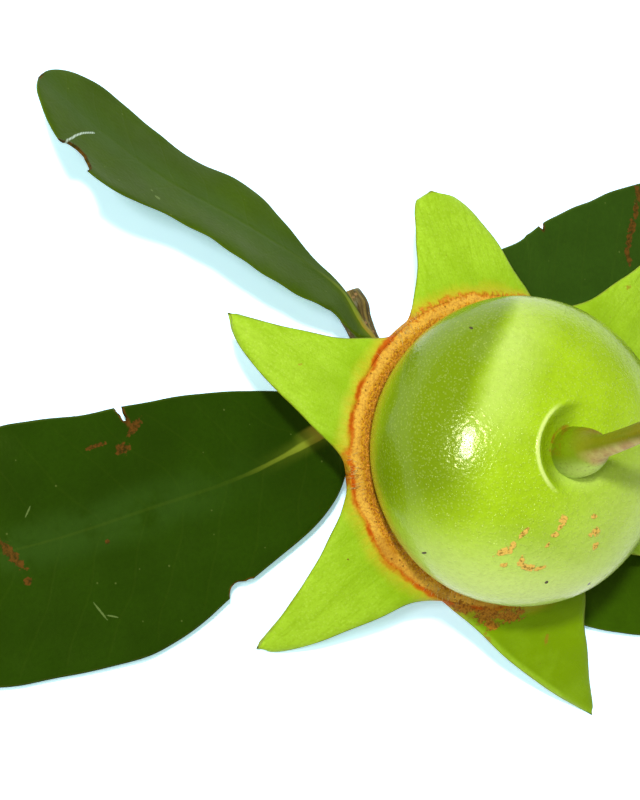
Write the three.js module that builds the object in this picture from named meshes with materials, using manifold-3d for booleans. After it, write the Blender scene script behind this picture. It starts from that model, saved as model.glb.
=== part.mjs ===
// A mangrove apple picked with its twig: a berry with a long style on a six-lobed calyx,
// and the two pairs of leaves below it. It lies on a surface at z = 0. Millimetres, +Z up.
import * as THREE from "three";
import { ParametricGeometry } from "three/addons/geometries/ParametricGeometry.js";
import { mergeVertices } from "three/addons/utils/BufferGeometryUtils.js";
import Module from "manifold-3d";

const wasm = await Module();
wasm.setup();

// Clear distance between pieces that touch.
const GAP = 0.3;
// Facets around the berry and the calyx.
const ROUND_STEPS = 42;

// The fruit's own frame has its origin in the middle of the calyx rim and z along the berry's axis.
const RIM_HEIGHT = 15.5;
const LEAN_DEG = 8.9;
const LEAN_TOWARDS_DEG = -71;

const BERRY = {
  radius: 25.3,
  equator: 11.3,
  topHeight: 17.5,
  bottomHeight: 22,
  seat: -3.4,
  seatDish: 0.6,
  recessDepth: 2.2,
  recessRadius: 4.4,
};

const STYLE = {
  footRadius: 4.25,
  footLength: 0.225,
  footPower: 5,
  stemRadius: 2.35,
  taper: 0.3,
  tipRadius: 1.4,
  stigmaRadius: 1.9,
  stigmaAt: 0.965,
  stigmaLength: 0.025,
};
const STYLE_PATH = [
  [0.4, -0.2, 25.4],
  [0.3, 0.1, 31],
  [0.4, 1.3, 39],
  [1.3, 3.5, 48],
  [3.2, 6.2, 56],
  [6, 9.4, 63],
];

// The cup's half profile below and above its rim, as radius and height.
const CALYX = {
  rimRadius: 26,
  cup: [
    [0, -7.2],
    [3.6, -7.2],
    [6.6, -6.9],
    [14, -6.2],
    [20, -5],
    [24, -3.2],
    [25.5, -1.5],
    [26, -0.2],
    [25.6, 0.5],
    [24.4, 0.9],
    [20, 0.9],
    [0, 0.9],
  ],
  lobeStart: 17,
  lobeDrop: 0.9,
  lobeThickness: 2.3,
  lobeEdge: 0.9,
  flareLength: 0.12,
  tipRounding: 0.035,
  droopPower: 1.6,
  bendPower: 1.7,
  thinningPower: 0.7,
};
// Each lobe: the direction of its middle and its half angle in degrees, the reach and the fall
// of its tip, how far the tip bends to the left of the middle, the tip's half width, and for its
// left and right flanks the half width and the power of its taper: below 1 is full, above 1 hollow.
const lobe = (at, half, reach, fall, bend, tip, left, right) => ({
  at,
  half,
  reach,
  fall,
  bend,
  tip,
  left,
  right,
});
const LOBES = [
  lobe(102, 33.5, 44.5, 9.3, -0.2, 2.2, [8.1, 0.71], [9.5, 0.5]),
  lobe(164, 28.5, 48.3, 9.4, -6.8, 0.4, [8.5, 0.5], [10.4, 0.95]),
  lobe(223.4, 31, 49.4, 12.1, 1.3, 0.4, [10.4, 0.56], [11.1, 1.25]),
  lobe(284, 33, 49.2, 7.65, 15, 0.4, [15.3, 0.8], [10.9, 0.95]),
  lobe(343, 28, 47, 8.4, -2, 0.9, [8, 0.8], [8, 0.8]),
  lobe(40, 30, 54, 9, 4, 0.9, [9.5, 0.8], [8.7, 0.8]),
];

const TWIG = {
  radius: 2.2,
  jointSwell: 1,
  jointAt: 0.42,
  jointLength: 0.09,
  endSwell: 0.5,
  endAt: 0.92,
  endLength: 0.07,
};
// Level and square to the twig: its sections are laid out from this direction.
const ACROSS_TWIG = new THREE.Vector3(1, 0.8, 0);
const TWIG_PATH = [
  [-0.6, 1.3, 7.9],
  [-1.6, 2.9, 5.2],
  [-4.4, 6.2, 2.8],
  [-9, 11, 2.2],
  [-13.6, 15.8, 2.1],
  [-17.2, 20.8, 2.1],
  [-20.4, 28.2, 2.1],
];

// Each leaf: the line of its stalk and midrib, the share of that line taken by the stalk, the
// half widths to the left and right of the midrib seen along it, the fullness of each side at
// equal steps from the blade's base to its tip, the roll along the blade in degrees, and the
// upward fold of its halves.
const LEAF_THICKNESS = 0.9;
const STALK_RADIUS = 1.15;
const TIP_RADIUS = 0.35;
// The plain outline is a sine arch, widest a little before the middle of the blade.
const OUTLINE_SKEW = 1.08;
// How fast the stalk sinks into the blade as a thick midrib.
const RIB_FADE = 14;
const LEAVES = {
  leaf_left: {
    path: [
      [-9.5, 12.2, 2.6],
      [-15, 9.6, 2.9],
      [-22, 5, 3.3],
      [-38.3, -4.2, 2.6],
      [-54, -10.3, 2],
      [-73, -17.1, 1.3],
      [-94, -22.5, 0.8],
      [-114, -26, 0.8],
    ],
    stalk: 0.125,
    left: 22.6,
    right: 20,
    leftFullness: [1.16, 0.9, 1.01, 0.97, 1.01, 1],
    rightFullness: [1.2, 1.03, 0.91, 1, 0.85, 0.85],
    roll: [0, 0, 0],
    fold: 0.04,
  },
  leaf_upper_left: {
    path: [
      [-12, 13.2, 4.6],
      [-17, 18.7, 5.5],
      [-20, 23, 5.9],
      [-23.5, 27.7, 6.1],
      [-30.6, 32.1, 6.3],
      [-41.9, 37.9, 6.4],
      [-54, 43.2, 6.6],
      [-64.9, 49.8, 7],
      [-76.3, 58.7, 7.4],
    ],
    stalk: 0.1,
    left: 10,
    right: 9,
    leftFullness: [1.16, 1.23, 1.15, 1.04, 1.77, 1.75],
    rightFullness: [0.26, 0.34, 1.11, 1.16, 1.53, 2.2],
    roll: [34, 38, 37],
    fold: 0.08,
  },
  leaf_upper_right: {
    path: [
      [-10.6, 14.6, 2.6],
      [-4.7, 20.5, 2.7],
      [3, 23.5, 2.5],
      [17, 24, 2],
      [33, 29.5, 1.5],
      [52, 38, 1],
      [68, 44.5, 0.7],
      [80, 48.5, 0.8],
    ],
    stalk: 0.12,
    left: 21,
    right: 20,
    leftFullness: [1.5, 1.13, 1, 0.96, 0.9, 0.92],
    rightFullness: [1.2, 1.05, 1, 0.97, 0.92, 0.92],
    roll: [0, 0, 0],
    fold: 0.04,
  },
  leaf_lower_right: {
    path: [
      [-4.9, 5.1, 2.6],
      [0, -1, 2.4],
      [8, -6, 2.1],
      [20, -9, 1.5],
      [36, -10.5, 1],
      [54, -11, 0.7],
      [70, -10.5, 0.6],
      [84, -9.5, 0.8],
    ],
    stalk: 0.1,
    left: 18,
    right: 18.5,
    leftFullness: [1.1, 1.05, 1, 0.97, 0.92, 0.92],
    rightFullness: [1.09, 1.12, 1.01, 0.85, 0.86, 0.9],
    roll: [0, 0, 0],
    fold: 0.03,
  },
};

const GREEN_FRUIT = new THREE.MeshStandardMaterial({ color: 0x8fb92e, roughness: 0.35 });
const GREEN_CALYX = new THREE.MeshStandardMaterial({ color: 0xa0c02c, roughness: 0.5 });
const OLIVE_STYLE = new THREE.MeshStandardMaterial({ color: 0x8d8a35, roughness: 0.5 });
const BROWN_TWIG = new THREE.MeshStandardMaterial({ color: 0x4a3a28, roughness: 0.85 });
const DARK_LEAF = new THREE.MeshStandardMaterial({ color: 0x2c4a14, roughness: 0.45 });

const radians = THREE.MathUtils.degToRad;
const lerp = THREE.MathUtils.lerp;
const Y = new THREE.Vector3(0, 1, 0);
const Z = new THREE.Vector3(0, 0, 1);

// A rounded step of the given size at a place, falling away over a length to both sides.
const swell = (size, t, at, length) => size * Math.exp(-(((t - at) / length) ** 2));

const curveThrough = (points) =>
  new THREE.CatmullRomCurve3(
    points.map((p) => new THREE.Vector3(...p)),
    false,
    "catmullrom",
    0.5,
  );

// A closed geometry as a solid: its shared vertices are merged by position.
function solidOf(geometry) {
  geometry.deleteAttribute("normal");
  geometry.deleteAttribute("uv");
  const merged = mergeVertices(geometry, 1e-4);
  const vertProperties = new Float32Array(merged.attributes.position.array);
  const triVerts = new Uint32Array(merged.index.array);
  return new wasm.Manifold(new wasm.Mesh({ numProp: 3, vertProperties, triVerts }));
}

function meshOf(name, solid, material) {
  const data = solid.getMesh();
  const geometry = new THREE.BufferGeometry();
  geometry.setAttribute("position", new THREE.BufferAttribute(data.vertProperties, 3));
  geometry.setIndex(new THREE.BufferAttribute(data.triVerts, 1));
  geometry.computeVertexNormals();
  const mesh = new THREE.Mesh(geometry, material);
  mesh.name = name;
  return mesh;
}

// The side and upward directions of a section across a curve, turned about it by roll.
function sectionFrame(curve, t, roll, up) {
  const along = curve.getTangentAt(t);
  const side = new THREE.Vector3().crossVectors(up, along).normalize();
  const normal = new THREE.Vector3().crossVectors(along, side);
  return {
    side: side.clone().multiplyScalar(Math.cos(roll)).addScaledVector(normal, Math.sin(roll)),
    normal: normal.clone().multiplyScalar(Math.cos(roll)).addScaledVector(side, -Math.sin(roll)),
  };
}

// A closed surface swept along a curve. section(t, angle) gives the offset to the side and up.
function sweep(curve, section, around, along, options = {}) {
  const roll = options.roll ?? (() => 0);
  const up = options.up ?? Z;
  return new ParametricGeometry(
    (u, v, target) => {
      const frame = options.frame ?? sectionFrame(curve, v, roll(v), up);
      const angle = 2 * Math.PI * (u === 1 ? 0 : u);
      const [across, over] = v === 0 || v === 1 ? [0, 0] : section(v, angle);
      target.copy(curve.getPointAt(v));
      target.addScaledVector(frame.side, across).addScaledVector(frame.normal, over);
    },
    around,
    along,
  );
}

// A round sweep with rounded-over ends and a radius that varies along it.
function tube(curve, radiusAt, around, along, up = Z) {
  const section = (t, angle) => {
    const r = radiusAt(t);
    return [r * Math.cos(angle), r * Math.sin(angle)];
  };
  return sweep(curve, section, around, along, { up });
}

// Half profile of the berry, from the bottom of its seat to the bottom of the style's recess,
// moved outwards by grow.
function berryProfile(grow) {
  const B = BERRY;
  const points = [];
  const lowest = Math.asin((B.seat - B.equator) / B.bottomHeight);
  const steps = 20;
  for (let i = 0; i <= steps; i++) {
    const a = lerp(lowest, Math.PI / 2, i / steps);
    const r = i === steps ? 0 : B.radius * Math.cos(a);
    const height = a < 0 ? B.bottomHeight : B.topHeight;
    const recess = swell(B.recessDepth, r, 0, B.recessRadius);
    const z = B.equator + height * Math.sin(a) - (a > 0 ? recess : 0);
    points.push(new THREE.Vector2(r && r + grow * Math.cos(a), z + grow * Math.sin(a)));
  }
  points.unshift(new THREE.Vector2(0, B.seat - B.seatDish - grow));
  return points;
}

function latheSolid(profile, segments) {
  const geometry = new THREE.LatheGeometry(profile, segments);
  geometry.rotateX(Math.PI / 2);
  return solidOf(geometry);
}

const berrySolid = (grow = 0) => latheSolid(berryProfile(grow), ROUND_STEPS);

// The style swells at its base, tapers, and ends in a small rounded stigma.
function styleSolid() {
  const S = STYLE;
  const radiusAt = (t) => {
    const foot = (S.footRadius - S.stemRadius) * Math.exp(-((t / S.footLength) ** S.footPower));
    const stem = S.tipRadius + (S.stemRadius - S.tipRadius) * Math.exp(-t / S.taper);
    const head = swell(S.stigmaRadius - S.tipRadius, t, S.stigmaAt, S.stigmaLength);
    return foot + stem + head;
  };
  const raw = solidOf(tube(curveThrough(STYLE_PATH), radiusAt, 12, 26, Y));
  return raw.subtract(berrySolid(GAP));
}

// The cup below the rim, as a solid of revolution.
function cupSolid() {
  return latheSolid(CALYX.cup.map(([r, z]) => new THREE.Vector2(r, z)), ROUND_STEPS);
}

// One lobe, built along +X and turned to its place. It starts inside the cup's wall.
function lobeSolid(lobe) {
  const C = CALYX;
  const half = radians(lobe.half);
  const sinus = C.rimRadius * Math.cos(half);
  const widest = C.rimRadius * Math.sin(half);
  const along = (t) => lerp(C.lobeStart, lobe.reach, t);
  const outward = (t) => Math.max(0, (along(t) - sinus) / (lobe.reach - sinus));
  const points = [];
  for (let i = 0; i <= 14; i++) {
    const t = i / 14;
    const out = outward(t);
    const height = -C.lobeDrop - (lobe.fall - C.lobeDrop) * out ** C.droopPower;
    points.push([along(t), lobe.bend * out ** C.bendPower, height]);
  }
  const curve = curveThrough(points);
  const section = (t, angle) => {
    const out = outward(t);
    const inside = along(t) * Math.tan(half);
    const [side, taper] = Math.cos(angle) > 0 ? lobe.left : lobe.right;
    const flank = lobe.tip + side * (1 - out) ** taper;
    const flare = (widest - lobe.tip - side) * Math.exp(-out / C.flareLength);
    const width = out > 0 ? flank + flare : inside;
    const rounding = Math.sqrt(Math.min(1, (1 - out) / C.tipRounding));
    const thick = lerp(C.lobeThickness, C.lobeEdge, out ** C.thinningPower) / 2;
    return [width * rounding * Math.cos(angle), thick * rounding * Math.sin(angle)];
  };
  const frame = { side: Y, normal: Z };
  return solidOf(sweep(curve, section, 12, 18, { frame })).rotate([0, 0, lobe.at]);
}

function calyxSolid(twigInFruit) {
  const whole = LOBES.reduce((sum, lobe) => sum.add(lobeSolid(lobe)), cupSolid());
  return whole.subtract(berrySolid(GAP)).subtract(twigInFruit);
}

// The twig rises to the calyx at one end, has a swollen leaf joint, and ends in a thicker cut stub.
function twigSolid(grow = 0) {
  const T = TWIG;
  const radiusAt = (t) => {
    const joint = swell(T.jointSwell, t, T.jointAt, T.jointLength);
    return T.radius + joint + swell(T.endSwell, t, T.endAt, T.endLength) + grow;
  };
  const raw = solidOf(tube(curveThrough(TWIG_PATH), radiusAt, 14, 22, ACROSS_TWIG));
  return raw.subtract(ground());
}

// Everything below the surface that the sprig lies on.
function ground() {
  const box = new THREE.BoxGeometry(400, 400, 20);
  box.translate(0, 0, -10);
  return solidOf(box);
}

// A smooth curve through values at equal steps from 0 to 1, read at t.
function smoothThrough(values, t) {
  const last = values.length - 1;
  const slope = (i) => {
    const [before, after] = [Math.max(i - 1, 0), Math.min(i + 1, last)];
    return (values[after] - values[before]) / (after - before);
  };
  const i = Math.min(Math.floor(t * last), last - 1);
  const u = t * last - i;
  const rise = lerp(values[i], values[i + 1], u * u * (3 - 2 * u));
  return rise + slope(i) * u * (1 - u) ** 2 + slope(i + 1) * u * u * (u - 1);
}

// Half width of a leaf blade's side as a share of its full half width, for t from base to tip.
function bladeOutline(t, fullness) {
  return smoothThrough(fullness, t) * Math.sqrt(Math.sin(Math.PI * t ** OUTLINE_SKEW));
}

function leafSolid(leaf, twigClear) {
  const curve = curveThrough(leaf.path);
  const bladeShare = (t) => Math.max(0, (t - leaf.stalk) / (1 - leaf.stalk));
  const roll = (t) => {
    const [base, middle, tip] = leaf.roll;
    const s = bladeShare(t);
    return radians(s < 0.5 ? lerp(base, middle, s * 2) : lerp(middle, tip, s * 2 - 1));
  };
  const section = (t, angle) => {
    const s = bladeShare(t);
    const stalk = lerp(STALK_RADIUS, TIP_RADIUS, s);
    const [full, fullness] =
      Math.cos(angle) > 0 ? [leaf.left, leaf.leftFullness] : [leaf.right, leaf.rightFullness];
    const width = Math.max(stalk, s > 0 ? full * bladeOutline(Math.min(s, 1), fullness) : 0);
    const across = width * Math.cos(angle);
    const rib = swell(STALK_RADIUS * Math.exp(-s * RIB_FADE), across, 0, STALK_RADIUS);
    const thick = Math.max(LEAF_THICKNESS / 2, rib, s > 0 ? 0 : STALK_RADIUS);
    return [across, thick * Math.sin(angle) + leaf.fold * Math.abs(across)];
  };
  return solidOf(sweep(curve, section, 12, 26, { roll })).subtract(twigClear).subtract(ground());
}

// The fruit group stands the berry's axis up and leans it.
function fruitGroup() {
  const lean = radians(LEAN_DEG);
  const towards = radians(LEAN_TOWARDS_DEG);
  const axis = new THREE.Vector3(
    Math.sin(lean) * Math.cos(towards),
    Math.sin(lean) * Math.sin(towards),
    Math.cos(lean),
  );
  const group = new THREE.Group();
  group.position.set(0, 0, RIM_HEIGHT);
  group.quaternion.setFromUnitVectors(Z, axis);
  group.updateMatrix();
  return group;
}

function build() {
  const sprig = new THREE.Group();
  const fruit = fruitGroup();
  const intoFruit = fruit.matrix.clone().invert();
  const twigClear = twigSolid(GAP);
  fruit.add(meshOf("berry", berrySolid(), GREEN_FRUIT));
  fruit.add(meshOf("style", styleSolid(), OLIVE_STYLE));
  fruit.add(meshOf("calyx", calyxSolid(twigClear.transform(intoFruit.elements)), GREEN_CALYX));
  sprig.add(fruit);
  sprig.add(meshOf("twig", twigSolid(), BROWN_TWIG));
  for (const [name, leaf] of Object.entries(LEAVES)) {
    sprig.add(meshOf(name, leafSolid(leaf, twigClear), DARK_LEAF));
  }
  return sprig;
}

// The origin is on the surface, below the middle of the whole sprig.
function centred(sprig) {
  const box = new THREE.Box3().setFromObject(sprig, true);
  const middle = box.getCenter(new THREE.Vector3());
  sprig.position.set(-middle.x, -middle.y, 0);
  const group = new THREE.Group();
  group.add(sprig);
  return group;
}

export default centred(build());
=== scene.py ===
"""A mangrove apple picked with its twig and four leaves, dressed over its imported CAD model."""
import math

import bpy
import numpy as np
from bpy.props import FloatProperty, FloatVectorProperty, IntProperty, PointerProperty
from bpy.types import Operator, Panel, PropertyGroup
from mathutils import Matrix, Vector


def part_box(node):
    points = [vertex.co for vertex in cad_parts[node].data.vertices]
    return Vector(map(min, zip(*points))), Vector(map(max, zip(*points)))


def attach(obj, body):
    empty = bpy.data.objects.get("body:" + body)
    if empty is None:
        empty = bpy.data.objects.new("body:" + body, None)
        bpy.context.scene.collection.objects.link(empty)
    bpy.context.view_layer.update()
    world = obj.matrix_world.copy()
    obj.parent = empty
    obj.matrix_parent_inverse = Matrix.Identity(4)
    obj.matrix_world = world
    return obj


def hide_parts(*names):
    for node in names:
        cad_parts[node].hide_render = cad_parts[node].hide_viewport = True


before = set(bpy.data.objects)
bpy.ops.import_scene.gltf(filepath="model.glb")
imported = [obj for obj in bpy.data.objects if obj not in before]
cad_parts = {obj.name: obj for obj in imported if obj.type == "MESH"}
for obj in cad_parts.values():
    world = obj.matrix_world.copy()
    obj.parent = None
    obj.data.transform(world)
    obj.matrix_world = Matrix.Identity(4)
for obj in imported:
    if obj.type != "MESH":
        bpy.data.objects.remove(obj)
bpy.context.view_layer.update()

bl_info = {
    "name": "Mangrove Apple",
    "version": (1, 0, 0),
    "blender": (4, 5, 0),
    "location": "3D View > Sidebar > Mangrove",
    "description": "Builds a mangrove apple sprig: berry, style, calyx, twig and leaves",
    "category": "Add Mesh",
}

MM = 0.001
# Starts of the random waves in the berry, the lobes and the bark.
BERRY_WAVES, LOBE_WAVES, BARK_WAVES = 11, 5, 31
UP = np.array([0.0, 0.0, 1.0])


def colour(code):
    """A web colour such as 0x8fb92e as linear red, green and blue."""
    parts = [(code >> shift & 255) / 255 for shift in (16, 8, 0)]
    return tuple(p / 12.92 if p <= 0.04045 else ((p + 0.055) / 1.055) ** 2.4 for p in parts)


def tinted(tone, by):
    """A colour multiplied by another, channel by channel."""
    return [a * b for a, b in zip(tone, by)]


def colour_property(name, description, code):
    """A colour setting, given as a web colour."""
    return FloatVectorProperty(
        name=name, description=description, default=colour(code), subtype="COLOR", min=0, max=1
    )


def length_property(name, description, millimetres):
    """A length setting, given in millimetres."""
    return FloatProperty(
        name=name, description=description, default=millimetres * MM, unit="LENGTH", min=0
    )


# ---------------------------------------------------------------- settings


class FruitSettings(PropertyGroup):
    lean: FloatProperty(
        name="Lean", description="How far the berry's axis leans", unit="ROTATION",
        default=math.radians(8.9),
    )
    lean_towards: FloatProperty(
        name="Lean towards", description="Compass direction of the lean, from +X", unit="ROTATION",
        default=math.radians(-71),
    )
    radius: length_property("Radius", "Half the berry's width", 25.3)
    equator: length_property("Equator", "Height of the widest place above the calyx rim", 11.3)
    top: length_property("Top", "Height of the top above the widest place", 17.5)
    bottom: length_property("Bottom", "Depth of the bottom below the widest place", 22)
    recess_radius: length_property("Recess radius", "Radius of the dimple round the style", 4.6)
    recess_depth: length_property("Recess depth", "Depth of the dimple round the style", 1.7)
    skin: colour_property("Skin", "Main colour of the berry", 0xAACF1A)
    deep: colour_property("Deep", "Fuller green of the berry's flank", 0x749004)
    pale: colour_property("Pale", "Pale green low on the berry", 0xD6EE84)
    fleck: colour_property("Fleck", "The fine pale dots in the skin", 0xE2F07E)
    scar: colour_property("Scar", "Corky marks on the skin", 0xF0BE58)
    # Crest is the colour of a painted highlight along the lip round the style.
    crest: colour_property("Crest", "The pale crest of the lip round the style", 0xF0FFA0)
    wrinkle: colour_property("Wrinkle", "Brown wrinkles at the foot of the style", 0x8A6410)
    style_foot: colour_property("Style foot", "The style's swollen foot", 0x788E00)
    style_green: colour_property("Style green", "Green streaks of the stem", 0x6C6000)
    style_brown: colour_property("Style brown", "The style's stem", 0x7E6404)
    style_pale: colour_property("Style pale", "The style's pale side", 0xDCC684)
    style_pink: colour_property("Style pink", "Pink flush of the pale side", 0xC4926A)


class CalyxSettings(PropertyGroup):
    rim_radius: length_property("Rim radius", "Radius of the star where its lobes part", 26)
    thickness: length_property("Thickness", "Thickness of a lobe at its base", 2.2)
    edge_thickness: length_property("Tip thickness", "Thickness of a lobe at its tip", 1.0)
    green: colour_property("Green", "Main colour of the lobes", 0xA4CC2E)
    shade: colour_property("Shade", "Deeper green in the lobes", 0x86AC08)
    # Full green is a painted shade laid over one lobe.
    full: colour_property("Full green", "The lobe with the fuller green", 0x789A00)
    orange: colour_property("Orange", "The stamen scar ring", 0xE8A82E)
    rust: colour_property("Rust", "The ring's red-orange border", 0xBE4A06)
    edge: colour_property("Edge", "The dry edge of each lobe", 0x7C7A18)


class TwigSettings(PropertyGroup):
    radius: length_property("Radius", "Half the twig's thickness", 2.2)
    joint: length_property("Joint", "Extra radius of the swollen leaf joint", 1.0)
    bark: colour_property("Bark", "Main colour of the bark", 0x4E4220)
    ridge: colour_property("Ridge", "Light crests of the bark", 0x8C7A3C)
    wood: colour_property("Wood", "The cut end", 0xA98A56)


class LeafSettings(PropertyGroup):
    thickness: length_property("Thickness", "Thickness of a blade", 0.9)
    green: colour_property("Green", "Upper side", 0x264604)
    # The colour of a painted sheen in a strip beside the midrib.
    painted_sheen: colour_property("Bloom", "Greyish bloom beside the midrib", 0x3A5A1E)
    underside: colour_property("Underside", "Lower side", 0x55752E)
    rib: colour_property("Rib", "Midrib and stalk", 0x9AAA32)
    stalk: colour_property("Stalk", "Ochre of the stalk", 0xB08A34)
    dry: colour_property("Dry", "Dry brown marks and bitten edges", 0x6E3E18)


class StageSettings(PropertyGroup):
    floor: colour_property("Floor", "Colour of the floor", 0xFFFFFF)
    eye_azimuth: FloatProperty(
        name="Azimuth", description="Direction that the camera looks from", unit="ROTATION",
        default=math.radians(-63.6),
    )
    eye_elevation: FloatProperty(
        name="Elevation", description="Height of the camera's look", unit="ROTATION",
        default=math.radians(66.5),
    )
    distance: length_property("Distance", "From the calyx rim to the camera", 420)


class MangroveSettings(PropertyGroup):
    fruit: PointerProperty(type=FruitSettings)
    calyx: PointerProperty(type=CalyxSettings)
    twig: PointerProperty(type=TwigSettings)
    leaf: PointerProperty(type=LeafSettings)
    stage: PointerProperty(type=StageSettings)
    seed: IntProperty(name="Seed", description="Start of the leaves' random waves", default=7)


# ---------------------------------------------------------------- places and lines

# Height of the middle of the calyx rim above the surface.
RIM_HEIGHT = 15.5 * MM


def fruit_axes(settings):
    """The fruit's own x, y and z directions as the columns of a rotation."""
    lean, towards = settings.lean, settings.lean_towards
    axis = Vector((
        math.sin(lean) * math.cos(towards), math.sin(lean) * math.sin(towards), math.cos(lean)
    ))
    return np.array(Vector((0, 0, 1)).rotation_difference(axis).to_matrix())


def fruit_foot(settings):
    """The point of the surface below the middle of the calyx rim."""
    low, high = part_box("berry")
    middle = (np.array(low) + np.array(high)) / 2
    rim = middle - fruit_axes(settings)[:, 2] * settings.equator
    return np.array([rim[0], rim[1], 0.0])


def fruit_to_frame(points, settings):
    """Points in the fruit's own axes, taken to the row frame."""
    rim = fruit_foot(settings) + UP * RIM_HEIGHT
    return points @ fruit_axes(settings).T + rim


class Line:
    """A smooth line through points, read by its share of length from 0 to 1."""

    def __init__(self, points):
        p = np.asarray(points, float)
        p = np.vstack([2 * p[0] - p[1], p, 2 * p[-1] - p[-2]])
        t = np.linspace(0, 1, 60, endpoint=False)[:, None]
        spans = []
        for a, b, c, d in zip(p, p[1:], p[2:], p[3:]):
            spans.append(
                0.5 * (2 * b + (c - a) * t + (2 * a - 5 * b + 4 * c - d) * t**2
                       + (3 * b - a - 3 * c + d) * t**3)
            )
        self.path = np.vstack([*spans, p[-2]])
        steps = np.linalg.norm(np.diff(self.path, axis=0), axis=1)
        self.run = np.concatenate([[0], np.cumsum(steps)])
        self.length = self.run[-1]

    def at(self, t):
        s = np.clip(t, 0, 1) * self.length
        return np.stack([np.interp(s, self.run, self.path[:, k]) for k in range(3)], -1)

    def along(self, t):
        d = self.at(np.asarray(t) + 0.004) - self.at(np.asarray(t) - 0.004)
        return d / np.linalg.norm(d, axis=-1, keepdims=True)


def section_axes(line, t, roll=0.0, up=UP):
    """The side and upward directions of sections across a line, turned about it by roll."""
    along = line.along(t)
    side = np.cross(np.broadcast_to(up, along.shape), along)
    side /= np.linalg.norm(side, axis=-1, keepdims=True)
    over = np.cross(along, side)
    roll = np.broadcast_to(roll, np.shape(t))[..., None]
    return (
        side * np.cos(roll) + over * np.sin(roll),
        over * np.cos(roll) - side * np.sin(roll),
    )


def hump(x, width, power=2):
    """A bell of height 1 at nought; a higher power makes it flatter with steeper sides."""
    return np.exp(-((x / width) ** power))


def stacked(*parts):
    """Coordinates of matching shapes as one array of points."""
    return np.stack(np.broadcast_arrays(*parts), -1)


def smoothstep(low, high, x):
    """0 below low and 1 above high, eased between; low may be the larger."""
    t = np.clip((x - low) / (high - low), 0, 1)
    return t * t * (3 - 2 * t)


def through(stations, x):
    """A smooth curve through (x, value) stations, read at x."""
    xs, ys = np.array(stations, float).T
    slopes = np.gradient(ys, xs)
    i = np.clip(np.searchsorted(xs, x) - 1, 0, len(xs) - 2)
    h = xs[i + 1] - xs[i]
    t = np.clip((x - xs[i]) / h, 0, 1)
    return (
        ys[i] * (1 + 2 * t) * (1 - t) ** 2 + slopes[i] * h * t * (1 - t) ** 2
        + ys[i + 1] * t * t * (3 - 2 * t) + slopes[i + 1] * h * t * t * (t - 1)
    )


def ripple(points, size, seed, octaves=3):
    """Smooth random waves over points, about -1 to 1, with features of the given size."""
    draw = np.random.default_rng(seed)
    total = np.zeros(points.shape[:-1])
    for octave in range(octaves):
        for _ in range(6):
            direction = draw.normal(size=3)
            direction *= 2 * math.pi / size * 2**octave / np.linalg.norm(direction)
            phase = draw.uniform(0, 2 * math.pi)
            total += np.sin(points @ direction + phase) / 6**0.5 / 1.6**octave
    return total * 0.6


# ---------------------------------------------------------------- meshes


def grid_faces(rows, columns, start=0, flip=False, wrap=False):
    """Quads over a grid of points stored row by row."""
    i = np.arange(rows - 1)[:, None] * columns
    j = np.arange(columns if wrap else columns - 1)[None, :]
    k = (j + 1) % columns
    faces = np.stack([i + j, i + k, i + columns + k, i + columns + j], -1).reshape(-1, 4) + start
    return faces[:, ::-1] if flip else faces


def make_piece(name, vertices, faces, materials, attributes=None, face_material=None):
    """A smooth mesh object in the row frame. Doubled points are joined and empty faces dropped."""
    key = np.round(vertices / 1e-7).astype(np.int64)
    _, first, index = np.unique(key, axis=0, return_index=True, return_inverse=True)
    index = index.reshape(-1)
    faces = index[faces]
    mesh = bpy.data.meshes.new(name)
    clean, kept = [], []
    for number, face in enumerate(faces.tolist()):
        loop = [v for k, v in enumerate(face) if v != face[k - 1]]
        if len(set(loop)) == len(loop) > 2:
            clean.append(loop)
            kept.append(number)
    mesh.from_pydata(vertices[first].tolist(), [], clean)
    for material in materials:
        mesh.materials.append(material)
    if face_material is not None:
        mesh.polygons.foreach_set("material_index", np.asarray(face_material)[kept].astype(np.int32))
    for label, values in (attributes or {}).items():
        layer = mesh.attributes.new(label, "FLOAT_VECTOR", "POINT")
        layer.data.foreach_set("vector", values[first].astype(np.float32).reshape(-1))
    mesh.polygons.foreach_set("use_smooth", np.ones(len(mesh.polygons), bool))
    mesh.validate()
    mesh.update()
    piece = bpy.data.objects.new(name, mesh)
    bpy.context.scene.collection.objects.link(piece)
    return piece


def finish_piece(piece, node):
    """Ties a piece to the root and hides the CAD part it stands for, if any."""
    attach(piece, "root")
    if node:
        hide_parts(node)


def tube_grid(line, radius_at, around, along, up, ends=True):
    """Points of a round tube as rows along it, with both ends drawn in to a point."""
    t = np.linspace(0, 1, along)
    angle = np.linspace(0, 2 * math.pi, around, endpoint=False)
    radius = radius_at(t[:, None], angle[None, :])
    if ends:
        radius[0], radius[-1] = 0, 0
    side, over = section_axes(line, t, up=up)
    points = (
        line.at(t)[:, None]
        + side[:, None] * (radius * np.cos(angle))[..., None]
        + over[:, None] * (radius * np.sin(angle))[..., None]
    )
    where = stacked(angle[None, :] / (2 * math.pi), t[:, None], radius / MM)
    return points, where


# ---------------------------------------------------------------- shader helpers


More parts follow.
